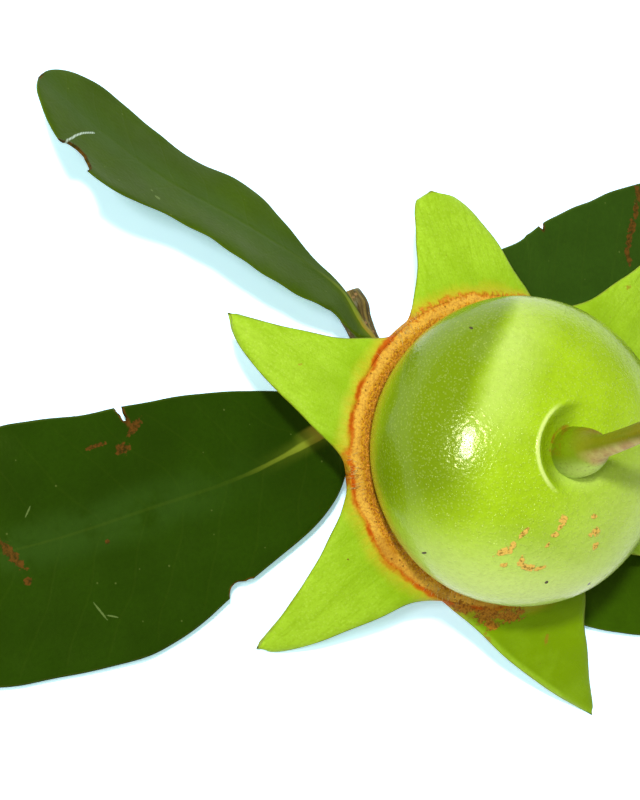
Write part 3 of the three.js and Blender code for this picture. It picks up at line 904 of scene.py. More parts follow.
def calyx_material(c):
    """The calyx: green lobes, the stamen scar ring and the duller cup below."""
    s, surface, material = new_material("calyx")
    place, zone, local = s.place(), s.place("zone"), s.place("local")
    ring, edge, out = s.parts(zone)
    mottle = s.mottle(place, 6.0, 0.4, 0.7)
    fine = s.mottle(place, 0.55, 0.42, 0.7)
    base = s.over(c.green, c.shade, mottle, 0.38)
    base = s.over(base, c.shade, fine, 0.42)
    # Faint fibres run along each lobe.
    lx, ly, at = s.parts(local)
    streak = s.noise(s.join(s.times(lx, 0.13), ly, at), 0.6, 3.0)
    base = s.over(base, c.shade, s.step(streak, 0.46, 0.7), 0.4)
    pale = s.dots(place, 0.6, 0.36)
    base = s.over(base, LOBE_DOT, pale, 0.1)
    keel = s.times(s.near(ly, 4.0, 0.5), s.step(out, 0.9, 0.2))
    base = s.over(base, c.shade, keel, 0.2)
    # Lobes are a fuller green towards the ring. One lobe is painted darker all over as shade, apart
    # from a lighter edge and its tip.
    root = s.times(s.step(out, 0.55, 0.0), s.linear(mottle, 0.3, 0.5))
    base = s.over(base, c.shade, root)
    full = s.near(s.minus(at, SHADED_LOBE), 3.0, 1.0)
    light = s.most(s.step(edge, 2.0, 0.6), s.step(out, 0.86, 0.97))
    light = s.times(light, s.step(ly, 2.0, -2.0))
    full = s.times(full, s.linear(light, -0.75, 1.0))
    full = s.times(full, s.linear(mottle, -0.25, 1.0))
    base = s.over(base, c.full, full, s.step(out, 0.0, 0.08))
    base = s.over(base, LOBE_SPECK, s.dots(place, 5.0, 0.05))
    smudge = marks(s, place, SMUDGES, 3.0)
    base = s.over(base, SMUDGE_BROWN, smudge, 0.6)
    # Dry line along the edges, darkest at the tips.
    ragged = s.wander(place, 1.4, 3.0, 0.5)
    near = s.plus(edge, ragged)
    dry = s.times(s.step(near, 0.3, 0.04), 0.55)
    horn = s.times(s.step(out, 0.972, 0.998), 0.8)
    base = s.over(base, c.edge, s.most(dry, horn))
    # The stamen ring: tan with fine dots by the berry and a red-orange line outside.
    unit = s.vector("NORMALIZE", place)
    fibre = s.minus(s.noise(s.vector("MULTIPLY", unit, (25.0,) * 3), 0.5, 2.0), 0.5)
    brush = s.step(s.vector("DOT_PRODUCT", unit, BRUSHED, out=1), 0.8, 0.95)
    border = s.wander(place, 5.5, 2.0, 2.6)
    border = s.linear(fibre, s.linear(brush, 2.2, 0.6), border)
    ring = s.plus(ring, border)
    spread = s.step(ring, 26.5, 26.0)
    glow = s.times(s.step(ring, 29.0, 26.2), s.linear(fibre, 0.8, 0.4))
    base = s.over(base, c.orange, glow)
    grain = s.noise(place, 0.42, 4.0, 0.7)
    tan = s.over(c.orange, tinted(c.orange, TAN_DARK), s.step(grain, 0.42, 0.62))
    yellow = s.times(s.step(ring, 24.0, 24.8), s.step(ring, 26.2, 25.4))
    tan = s.over(tan, RING_YELLOW, yellow, 0.3)
    burnt = s.mottle(place, 7.0, 0.42, 0.62)
    _, py, _ = s.parts(place)
    front = s.linear(s.step(py, 5.0, -16.0), 0.4, 0.12)
    tan = s.over(tan, RING_BURNT, burnt, front)
    base = s.over(base, tan, spread)
    line = s.times(s.step(ring, 25.5, 26.1), s.step(ring, 27.0, 26.4))
    line = s.times(line, s.linear(brush, -0.45, 1.0))
    patches = s.mottle(place, 5.0, 0.34, 0.56)
    base = s.over(base, c.rust, line, s.linear(patches, 0.65, 0.25))
    dots = s.dots(place, 0.44, 0.4)
    by_berry = s.step(ring, 25.0, 23.6)
    base = s.over(base, RING_DOT, dots, s.times(by_berry, 0.6))
    stray = s.times(s.dots(place, 1.3, 0.16), spread)
    base = s.over(base, RING_SPECK, stray, 0.7)
    seam = s.step(ring, 22.7, 22.0)
    base = s.over(base, SEAM, seam, 0.6)
    rust = marks(s, place, RUST_PATCHES, 3.0)
    crust = s.over(CRUST_LIGHT, CRUST_DARK, s.step(grain, 0.4, 0.64))
    base = s.over(base, crust, rust, 0.95)
    # Underneath, the cup is duller towards the twig.
    foot = s.times(s.step(ring, 14.0, 5.0), 0.6)
    base = s.over(base, CUP_FOOT, foot)
    corky = s.most(spread, rust)
    height = s.linear(s.times(corky, grain), 2.4, s.noise(place, 0.3, 2.0))
    height = s.linear(streak, 0.9, height)
    rough = s.linear(s.noise(place, 2.5, 3.0), 0.2, 0.34)
    rough = s.most(rough, s.times(corky, 0.6))
    dress(s, surface, Base_Color=base, Roughness=rough, Specular_IOR_Level=0.2, Specular_Tint=TINT)
    dress(s, surface, Normal=s.bump(height, 0.0001, 0.8))
    return material


def on_ring(angle, radius, lift=0.0):
    """A point over the calyx's upper side, in millimetres in the fruit's own axes."""
    height = float(through(CALYX_TOP, radius)) + lift
    return np.array([radius * math.cos(angle), radius * math.sin(angle), height])


def scar_bumps(count, seed):
    """Little rounded bumps left where the stamens fell, packed on the ring beside the berry."""
    draw = np.random.default_rng(seed)
    sides = 6
    circle = np.linspace(0, 2 * math.pi, sides, endpoint=False)
    vertices, faces = [], []
    for k in range(count):
        angle = 2 * math.pi * (k + draw.uniform(-0.4, 0.4)) / count
        radius = draw.triangular(22.5, 22.9, 25.0)
        size = draw.uniform(0.12, 0.21)
        centre = on_ring(angle, radius)
        low = stacked(np.cos(circle) * size, np.sin(circle) * size, -0.15)
        high = low * [0.62, 0.62, 0] + [0, 0, size * 0.5]
        start = len(vertices)
        vertices += [*(centre + low), *(centre + high), centre + [0, 0, size * 0.72]]
        for i in range(sides):
            j = (i + 1) % sides
            a, b, c, d = start + i, start + j, start + sides + j, start + sides + i
            faces += [(a, b, c, d), (d, c, start + 2 * sides, start + 2 * sides)]
    return np.array(vertices) * MM, np.array(faces)


def hair_tufts(seed):
    """Short dry hairs standing in the notches between the lobes and on the ring's outer edge."""
    draw = np.random.default_rng(seed)
    vertices, faces = [], []
    notches = [at + half for at, half, *_ in LOBES]
    for notch in notches:
        for _ in range(40):
            angle = math.radians(notch + draw.normal(0, 5.5))
            radius = draw.uniform(23.8, 25.9)
            root = on_ring(angle, radius, -0.06)
            outward = np.array([math.cos(angle), math.sin(angle), draw.uniform(0.0, 0.35)])
            outward += draw.normal(0, 0.2, 3)
            length = draw.uniform(0.7, 1.7)
            droop = np.array([0, 0, -draw.uniform(0, 0.5)])
            start, steps = len(vertices), 5
            for i in range(steps):
                t = i / (steps - 1)
                centre = root + outward * length * t + droop * t * t
                thin = 0.055 * (1 - t) + 0.008
                for k in range(3):
                    turn = 2 * math.pi * k / 3 + angle
                    vertices.append(centre + thin * np.array([-math.sin(turn), math.cos(turn), 0.4]))
            for i in range(steps - 1):
                for k in range(3):
                    a, b = start + 3 * i + k, start + 3 * i + (k + 1) % 3
                    faces.append((a, b, b + 3, a + 3))
            faces.append((start, start + 2, start + 1, start + 1))
            last = start + 3 * (steps - 1)
            faces.append((last, last + 1, last + 2, last + 2))
    return np.array(vertices) * MM, np.array(faces)


def crust_material(name, dark, light):
    """Rough two-toned crust for the pieces on the ring."""
    s, surface, material = new_material(name)
    place = s.place()
    tone = s.over(dark, light, s.step(s.noise(place, 0.7, 3.0), 0.35, 0.65))
    dress(s, surface, Base_Color=tone, Roughness=s.linear(s.noise(place, 0.3), 0.3, 0.55))
    dress(s, surface, Normal=s.bump(s.noise(place, 0.12, 3.0), 0.00005, 0.6))
    return material


class MANGROVE_OT_calyx(Operator):
    """Builds the six-lobed calyx with its ring of stamen scars"""

    bl_idname = "mangrove.calyx"
    bl_label = "Calyx"

    def execute(self, context):
        f, c = context.scene.mangrove.fruit, context.scene.mangrove.calyx
        points, faces, zones, locals_ = [], [], [], []
        start = 0
        for lobe in LOBES:
            top, under, zone, local = lobe_grid(lobe, c)
            rows, columns = top.shape[:2]
            size = rows * columns
            faces.append(grid_faces(rows, columns, start))
            faces.append(grid_faces(rows, columns, start + size, flip=True))
            # Walls close the two flanks from the notch to the tip.
            i = start + np.arange(RING_ROWS - 1, rows - 1) * columns
            right = np.stack([i, i + columns, i + columns + size, i + size], -1)
            last = i + columns - 1
            left = np.stack([last, last + size, last + columns + size, last + columns], -1)
            end = start + (rows - 1) * columns + np.arange(columns - 1)
            tip = np.stack([end, end + 1, end + 1 + size, end + size], -1)
            faces += [right, left, tip]
            points += [top.reshape(-1, 3), under.reshape(-1, 3)]
            zones += [zone.reshape(-1, 3)] * 2
            locals_ += [local.reshape(-1, 3)] * 2
            start += 2 * size
        points = np.vstack(points)
        frame_points = fruit_to_frame(points * MM, f)
        frame_points[:, 2] = np.maximum(frame_points[:, 2], 0.05 * MM)
        calyx = make_piece(
            "calyx_star", frame_points, np.vstack(faces), [calyx_material(c)],
            {"place": points, "zone": np.vstack(zones), "local": np.vstack(locals_)},
        )
        finish_piece(calyx, "calyx")

        for name, label, tones, (vertices, faces) in (
            ("stamen_scars", "stamen scars", SCAR_TONES, scar_bumps(SCAR_COUNT, SCAR_SEED)),
            ("notch_hairs", "dry hairs", HAIR_TONES, hair_tufts(HAIR_SEED)),
        ):
            piece = make_piece(
                name, fruit_to_frame(vertices, f), faces, [crust_material(label, *tones)],
                {"place": vertices / MM},
            )
            finish_piece(piece, None)
        return {"FINISHED"}


# ---------------------------------------------------------------- twig


LICHEN = colour(0x9A9E80)
LENTICEL = colour(0xB08A58)
PITH = colour(0x6A4A26)
INNER_BARK = colour(0x5E6A2A)
# The twig's line in millimetres from the fruit's foot.
TWIG_PATH = [
    (-0.6, 1.3, 7.9), (-1.6, 2.9, 5.2), (-4.4, 6.2, 2.8), (-9, 11, 2.2), (-13.6, 15.8, 2.1),
    (-17.2, 20.8, 2.1), (-20.4, 28.2, 2.1),
]
# Swellings by share of the twig's length: the leaf joint (place, reach), rings (place, reach,
# height in millimetres) and knobs (place, direction round the twig in degrees, height).
TWIG_JOINT = (0.42, 0.09)
TWIG_RINGS = [(0.33, 0.012, 0.18), (0.54, 0.014, 0.14), (0.92, 0.07, 0.5)]
TWIG_KNOBS = [(0.93, 20, 0.5), (0.8, -35, 0.5), (0.9, 150, 0.7), (0.72, 190, 0.4)]
KNOB_REACH = 0.035
TWIG_ROWS, TWIG_AROUND = 230, 72


def twig_radius(t, angle, twig):
    """Radius of the twig for t from the calyx to the cut."""
    at, reach = TWIG_JOINT
    joint = twig.joint * hump(t - at, reach)
    rings = sum(high * hump(t - at, reach) for at, reach, high in TWIG_RINGS)
    knobs = 0
    for at, turn, high in TWIG_KNOBS:
        around = np.cos(angle - math.radians(turn))
        knobs = knobs + high * hump(t - at, KNOB_REACH) * np.clip(around, 0, 1) ** 4
    cord = stacked(np.cos(angle) * 2.7, np.sin(angle) * 2.7, t * 9)
    bark = 0.13 * ripple(cord, 2.2, BARK_WAVES, 3) + 0.05 * np.cos(9 * angle + 2 * np.sin(8 * t))
    end = smoothstep(1.0, 0.985, t) * 0.12 - 0.12
    return twig.radius + joint + (rings + knobs + bark + end) * MM


def twig_material(twig):
    """Streaked bark with lichen and lenticels, and the wood of the cut end."""
    s, surface, material = new_material("bark")
    place, spot = s.place(), s.place("spot")
    around, along, radius = s.parts(place)
    streak = s.noise(s.join(s.times(around, 40.0), s.times(along, 6.0), 0.0), 1.6, 4.0)
    base = s.over(twig.bark, twig.ridge, s.step(streak, 0.38, 0.68))
    lichen = s.mottle(spot, 2.0, 0.52, 0.68)
    base = s.over(base, LICHEN, lichen, 0.35)
    lenticel = s.dots(spot, 1.5, 0.26)
    base = s.over(base, LENTICEL, lenticel, 0.7)
    cut = s.step(along, 0.9965, 0.9985)
    pith = s.step(radius, 0.75, 0.55)
    wood = s.over(twig.wood, PITH, pith)
    wood = s.over(wood, INNER_BARK, s.step(radius, 2.2, 2.5))
    base = s.over(base, wood, cut)
    height = s.plus(streak, s.times(s.noise(spot, 0.5, 4.0, 0.7), 0.8))
    height = s.plus(height, s.times(lenticel, 0.6))
    dress(s, surface, Base_Color=base, Roughness=s.linear(streak, 0.2, 0.62))
    dress(s, surface, Normal=s.bump(height, 0.00035, 0.9), Specular_IOR_Level=0.3)
    return material


class MANGROVE_OT_twig(Operator):
    """Builds the barky twig from the calyx to its square cut"""

    bl_idname = "mangrove.twig"
    bl_label = "Twig"

    def execute(self, context):
        m = context.scene.mangrove
        foot = fruit_foot(m.fruit)
        line = Line(np.array(TWIG_PATH) * MM)
        points, where = tube_grid(
            line, lambda t, a: twig_radius(t, a, m.twig), TWIG_AROUND, TWIG_ROWS,
            np.array([1, 0.8, 0]), ends=False,
        )
        # The cut end: rings from the bark's edge to the pith, all at the twig's last station.
        caps, cap_where = [], []
        for share in (0.93, 0.75, 0.5, 0.25, 0.0):
            ring = line.at(1.0) + (points[-1] - line.at(1.0)) * share
            push = line.along(1.0) * 0.08 * MM * math.cos(share * 9)
            caps.append(ring + push)
            row = where[-1].copy()
            row[:, 2] *= share
            cap_where.append(row)
        inner = np.broadcast_to(line.at(0.0), points[0].shape)
        points = np.vstack([inner[None], points, np.array(caps)]) + foot
        where = np.vstack([where[:1], where, np.array(cap_where)])
        points[..., 2] = np.maximum(points[..., 2], 0.0)
        flat = points.reshape(-1, 3)
        twig = make_piece(
            "twig_bark", flat, grid_faces(len(points), TWIG_AROUND, wrap=True), [twig_material(m.twig)],
            {"place": where.reshape(-1, 3), "spot": (flat - foot) / MM},
        )
        finish_piece(twig, "twig")
        return {"FINISHED"}


# ---------------------------------------------------------------- leaves


STALK_END = colour(0x6A4420)
MARGIN = colour(0x7E8C2C)
DRY_DARK = colour(0x30200A)
SCRATCH = colour(0x9CB468)
CRACK = colour(0xC4D8C8)
LEAF_DOT = colour(0x7E8C48)
# Side veins: their spacing in millimetres and how far they slant towards the tip.
VEIN_SPACING, VEIN_SLANT = 7.4, 0.62
# Each leaf: the line of its stalk and midrib in millimetres from the fruit's foot, the stalk's
# share of it, the half widths to the left and right, their fullness at equal steps from the
# blade's base to its tip, the roll along it in degrees, the upward fold of its halves, and the
# tone that multiplies its green. On the upper left leaf the tone lightens the green as a painted
# sheen, and on the lower right leaf it lightens it as painted light over the berry's shadow.
# Bites (centre, half length, half width, turn), scars and scratches (centre, length, width, turn)
# and the points of a pale crack are measured as distance along the midrib line and distance to
# its left, in millimetres and degrees.
LEAVES = {
    "leaf_left": {
        "path": [(-9.5, 12.2, 2.6), (-15, 9.6, 2.9), (-22, 5, 3.3), (-38.3, -4.2, 2.6),
                 (-54, -10.3, 2), (-73, -17.1, 1.3), (-94, -22.5, 0.8), (-114, -26, 0.8)],
        "stalk": 0.125, "left": 22.6, "right": 20,
        "fullness": ((1.16, 0.9, 1.01, 0.97, 1.01, 1), (1.2, 1.03, 0.91, 1, 0.85, 0.85)),
        "roll": (0, 0, 0), "fold": 0.04,
        "bites": [(51.0, -17.6, 0.5, 3.4, 12), (41.0, 18.1, 1.9, 2.1, 20), (39.0, 17.0, 1.3, 0.8, 0)],
        "scars": [(49.3, -13.4, 3.4, 1.5, 35), (52.4, -10.6, 2.6, 1.8, 10), (56.6, -12.4, 3.6, 0.8, 0),
                  (75.4, 0.6, 6.5, 1.7, -62), (73.8, 5.4, 1.6, 1.2, 0), (59.7, 3.0, 1.0, 0.9, 0)],
        "scratches": [(64.4, 13.2, 3.6, 0.35, -70), (62.8, 14.6, 2.4, 0.3, -30),
                      (71, -5.4, 2.2, 0.3, 50)],
        "crack": [], "tone": (0.98, 0.88, 1.0),
    },
    "leaf_upper_left": {
        "path": [(-12, 13.2, 4.6), (-17, 18.7, 5.5), (-20, 23, 5.9), (-23.5, 27.7, 6.1),
                 (-30.6, 32.1, 6.3), (-41.9, 37.9, 6.4), (-54, 43.2, 6.6), (-64.9, 49.8, 7),
                 (-76.3, 58.7, 7.4)],
        "stalk": 0.1, "left": 10, "right": 9,
        "fullness": ((1.16, 1.23, 1.15, 1.04, 1.77, 1.75), (0.26, 0.34, 1.11, 1.16, 1.53, 2.2)),
        "roll": (34, 38, 37), "fold": 0.08,
        "bites": [(68.4, 13.4, 2.9, 3.8, -5), (70.8, 12.6, 1.3, 1.2, 0)],
        "scars": [],
        "scratches": [(54.0, 7.1, 1.1, 0.9, 0), (55.2, 6.0, 0.5, 0.4, 0)],
        "crack": [(70.2, 10.9), (70.3, 9.8), (70.0, 8.6), (69.7, 6.8), (69.1, 4.8), (68.4, 3.4),
                  (67.6, 2.1)],
        # Painted sheen: this tone lightens the rolled leaf's green.
        "tone": (2.75, 1.75, 1.2),
    },
    "leaf_upper_right": {
        "path": [(-10.6, 14.6, 2.6), (-4.7, 20.5, 2.7), (3, 23.5, 2.5), (17, 24, 2),
                 (33, 29.5, 1.5), (52, 38, 1), (68, 44.5, 0.7), (80, 48.5, 0.8)],
        "stalk": 0.12, "left": 21, "right": 20,
        "fullness": ((1.5, 1.13, 1, 0.96, 0.9, 0.92), (1.2, 1.05, 1, 0.97, 0.92, 0.92)),
        "roll": (0, 0, 0), "fold": 0.04,
        "bites": [(36.2, 19.4, 0.8, 1.5, 0)],
        "scars": [(60.0, 18.2, 4.4, 1.3, 82), (58.2, 15.8, 4.2, 1.1, 62), (56.0, 13.2, 3.8, 1.5, 48),
                  (54.2, 11.0, 4.0, 1.2, 55), (52.8, 8.6, 3.8, 1.3, 80)],
        "scratches": [(44.0, -9.0, 2.5, 0.3, 20)],
        "crack": [], "tone": (1.55, 1.25, 5.0),
    },
    "leaf_lower_right": {
        "path": [(-4.9, 5.1, 2.6), (0, -1, 2.4), (8, -6, 2.1), (20, -9, 1.5), (36, -10.5, 1),
                 (54, -11, 0.7), (70, -10.5, 0.6), (84, -9.5, 0.8)],
        "stalk": 0.1, "left": 18, "right": 18.5,
        "fullness": ((1.1, 1.05, 1, 0.97, 0.92, 0.92), (1.09, 1.12, 1.01, 0.85, 0.86, 0.9)),
        "roll": (0, 0, 0), "fold": 0.03,
        "bites": [(66.0, -18.4, 1.6, 2.2, 10)],
        "scars": [(58.0, 7.5, 3.2, 1.2, 30), (71.5, -6.2, 1.6, 1.0, 0)],
        "scratches": [(62.0, -9.0, 2.8, 0.3, -40)],
        # Painted light: this tone lightens the leaf that lies in the berry's shadow.
        "crack": [], "tone": (2.05, 1.6, 1.0),
    },
}
LEAF_ROWS, LEAF_COLUMNS = 280, 84
STALK_RADIUS = 1.15
# Share of the thickness setting that the blade's body takes up, beside its waves and rib.
BLADE_BODY = 0.62


def cut_distance(x, y, leaf, seed):
    """Distance in millimetres from the leaf's bites, negative inside them."""
    nearest = np.full(np.shape(x), 50.0)
    for cx, cy, long, wide, turn in leaf["bites"]:
        c, s = math.cos(math.radians(turn)), math.sin(math.radians(turn))
        dx, dy = (x - cx) * c + (y - cy) * s, (y - cy) * c - (x - cx) * s
        reach = np.hypot(dx / long, dy / wide)
        nearest = np.minimum(nearest, (reach - 1) * min(long, wide))
    spot = stacked(x, y, 0.0)
    return nearest + 0.16 * ripple(spot, 2.4, seed, 2)


def crack_distance(x, y, leaf):
    """Distance in millimetres from the leaf's crack, or far away when it has none."""
    nearest = np.full(np.shape(x), 20.0)
    for (ax, ay), (bx, by) in zip(leaf["crack"], leaf["crack"][1:]):
        length = (bx - ax) ** 2 + (by - ay) ** 2
        share = np.clip(((x - ax) * (bx - ax) + (y - ay) * (by - ay)) / length, 0, 1)
        gap = np.hypot(x - ax - share * (bx - ax), y - ay - share * (by - ay))
        nearest = np.minimum(nearest, gap)
    return nearest


def blade_share(t, leaf):
    """A share of a leaf's whole length as a share of its blade, 0 all along the stalk."""
    return np.clip((t - leaf["stalk"]) / (1 - leaf["stalk"]), 0, 1)


def blade_half_width(x, left, leaf, length, seed):
    """Half width in millimetres at a distance along the midrib, on the left or the right."""
    t = np.clip(x / length, 0, 1)
    s = blade_share(t, leaf)
    sides = [through(list(zip(np.linspace(0, 1, 6), side)), s) for side in leaf["fullness"]]
    full = np.where(left, leaf["left"] * sides[0], leaf["right"] * sides[1])
    outline = np.sqrt(np.sin(np.pi * s**1.08).clip(0, 1))
    spot = stacked(x, np.where(left, 30.0, -30.0), 0.0)
    outline = outline * (1 + 0.012 * ripple(spot, 14.0, seed, 2))
    stalk = STALK_RADIUS * (1 - s) + 0.35 * s
    end = np.sqrt(np.clip((1 - t) / 0.004, 0, 1))
    start = np.sqrt(np.clip(t / 0.006, 0, 1))
    return np.maximum(stalk, np.where(s > 0, full * outline, 0)) * end * start


def leaf_height(x, y, width, leaf, length, seed, blade):
    """Heights in millimetres of a leaf's upper and under sides above its midrib line."""
    t = x / length
    s = blade_share(t, leaf)
    u = np.clip(np.abs(y) / np.maximum(width, 1e-6), 0, 1)
    is_blade = smoothstep(0.0, 0.05, s)
    spot = stacked(x, y, 0.0)
    slope = leaf["fold"] * (np.hypot(y, 3.5) - 3.5)
    wave = 0.32 * ripple(spot, 30.0, seed, 2) * smoothstep(1, 12, np.abs(y))
    wave = wave + 0.2 * ripple(spot, 11.0, seed + 3, 2) * u**3 * is_blade
    middle = slope * is_blade + wave * is_blade
    power = 2 + 12 * is_blade
    body = np.sqrt(np.clip(1 - u**power, 0, 1))
    half = blade / 2 * is_blade + STALK_RADIUS * (1 - is_blade)
    stalk = 1.05 * np.exp(-s * 9) + 0.42 * np.exp(-s * 1.6)
    rib_under = stalk * hump(y, 1.0) * is_blade * smoothstep(1.0, 0.9, s)
    rib_top = 0.34 * np.exp(-s * 8) * hump(y, 0.85)
    rib_top = rib_top - 0.13 * hump(y, 0.5) * smoothstep(0.2, 0.4, s) * (1 - s)
    vein = np.cos((x - VEIN_SLANT * np.abs(y)) * 2 * math.pi / VEIN_SPACING + 0.9 * np.sin(x * 0.21))
    vein = 0.2 * smoothstep(0.8, 1.0, vein) * is_blade
    vein = vein * smoothstep(0.96, 0.8, u) * smoothstep(0.6, 2, np.abs(y))
    top = middle + half * body + rib_top * is_blade * body
    under = middle - half * body - (rib_under + 0.05 * vein) * body
    return top, under


def leaf_points(x, y, leaf, line, seed, blade):
    """Upper and under points of a leaf in the row frame before it is moved to the foot."""
    length = line.length / MM
    width = blade_half_width(x, y > 0, leaf, length, seed)
    top, under = leaf_height(x, y, width, leaf, length, seed, blade)
    t = np.clip(x / length, 0, 1)
    s = blade_share(t, leaf)
    roll = np.interp(s, (0, 0.5, 1), np.radians(leaf["roll"]))
    side, over = section_axes(line, t, roll)
    base = line.at(t) + side * (y * MM)[..., None]
    return base + over * (top * MM)[..., None], base + over * (under * MM)[..., None], width


def build_leaf(name, leaf, settings, foot, seed):
    """One leaf as a closed blade with its bites cut out and walls along the cuts."""
    blade = settings.thickness / MM * BLADE_BODY
    line = Line(np.array(leaf["path"]) * MM)
    length = line.length / MM
    t = np.linspace(0, 1, LEAF_ROWS)
    x = (t * length)[:, None] * np.ones(LEAF_COLUMNS)
    w = np.linspace(-1, 1, LEAF_COLUMNS)
    u = 0.72 * w + 0.28 * np.sin(w * math.pi / 2)
    left = np.broadcast_to(u > 0, x.shape)
    y = u * blade_half_width(x, left, leaf, length, seed)

    # Cut cells are dropped, and the points beside them move on to the cut itself.
    def field(px, py):
        return cut_distance(px, py, leaf, seed)

    def corners(a):
        return (a[:-1, :-1] + a[1:, :-1] + a[:-1, 1:] + a[1:, 1:]) / 4

    gone = field(corners(x), corners(y)) < 0
    touch_gone, touch_kept = np.zeros(x.shape, bool), np.zeros(x.shape, bool)
    for di in (0, 1):
        for dj in (0, 1):
            window = (slice(di, LEAF_ROWS - 1 + di), slice(dj, LEAF_COLUMNS - 1 + dj))
            touch_gone[window] |= gone
            touch_kept[window] |= ~gone
    rim = touch_gone & touch_kept
    rim[:, [0, -1]] = False
    step = 0.02
    for _ in range(4):
        here = field(x, y)
        slope_x = (field(x + step, y) - here) / step
        slope_y = (field(x, y + step) - here) / step
        pull = np.clip(here, -0.3, 0.3) / (slope_x**2 + slope_y**2 + 0.05)
        x = np.where(rim, x - pull * slope_x, x)
        y = np.where(rim, y - pull * slope_y, y)

    top, under, width = leaf_points(x, y, leaf, line, seed, blade)
    size = x.size
    grid = np.arange(size).reshape(x.shape)
    cells = np.stack([grid[:-1, :-1], grid[:-1, 1:], grid[1:, 1:], grid[1:, :-1]], -1)
    upper = cells[~gone][:, ::-1]
    lower = cells[~gone] + size
    walls = []
    for i, j in np.argwhere(gone):
        a, b, c, d = cells[i, j]
        neighbours = (((i - 1, j), a, b), ((i, j + 1), b, c), ((i + 1, j), c, d), ((i, j - 1), d, a))
        for (ni, nj), p, q in neighbours:
            inside = 0 <= ni < gone.shape[0] and 0 <= nj < gone.shape[1]
            if inside and not gone[ni, nj]:
                walls.append((p, q, q + size, p + size))
    faces = np.vstack([upper, lower, np.array(walls, int).reshape(-1, 4)])
    face_material = np.concatenate([
        np.zeros(len(upper)), np.ones(len(lower)), np.zeros(len(walls))
    ]).astype(int)

    points = np.vstack([top.reshape(-1, 3), under.reshape(-1, 3)]) + foot
    points[:, 2] = np.maximum(points[:, 2], 0.03 * MM)
    s = blade_share(x / length, leaf)
    place = stacked(x, y, crack_distance(x, y, leaf)).reshape(-1, 3)
    edge = np.maximum(width - np.abs(y), 0)
    zone = stacked(s, edge, np.minimum(field(x, y), 20)).reshape(-1, 3)
    return make_piece(
        name, points, faces,
        [leaf_material(name, leaf, settings, True), leaf_material(name, leaf, settings, False)],
        {"place": np.vstack([place, place]), "zone": np.vstack([zone, zone])}, face_material,
    )


def flat_marks(s, place, spots, raggedness):
    """Marks on a leaf, each given as (x, y, length, width, turn in degrees)."""
    spots = [(x, y, 0, long, wide, 9, turn) for x, y, long, wide, turn in spots]
    return marks(s, place, spots, raggedness)


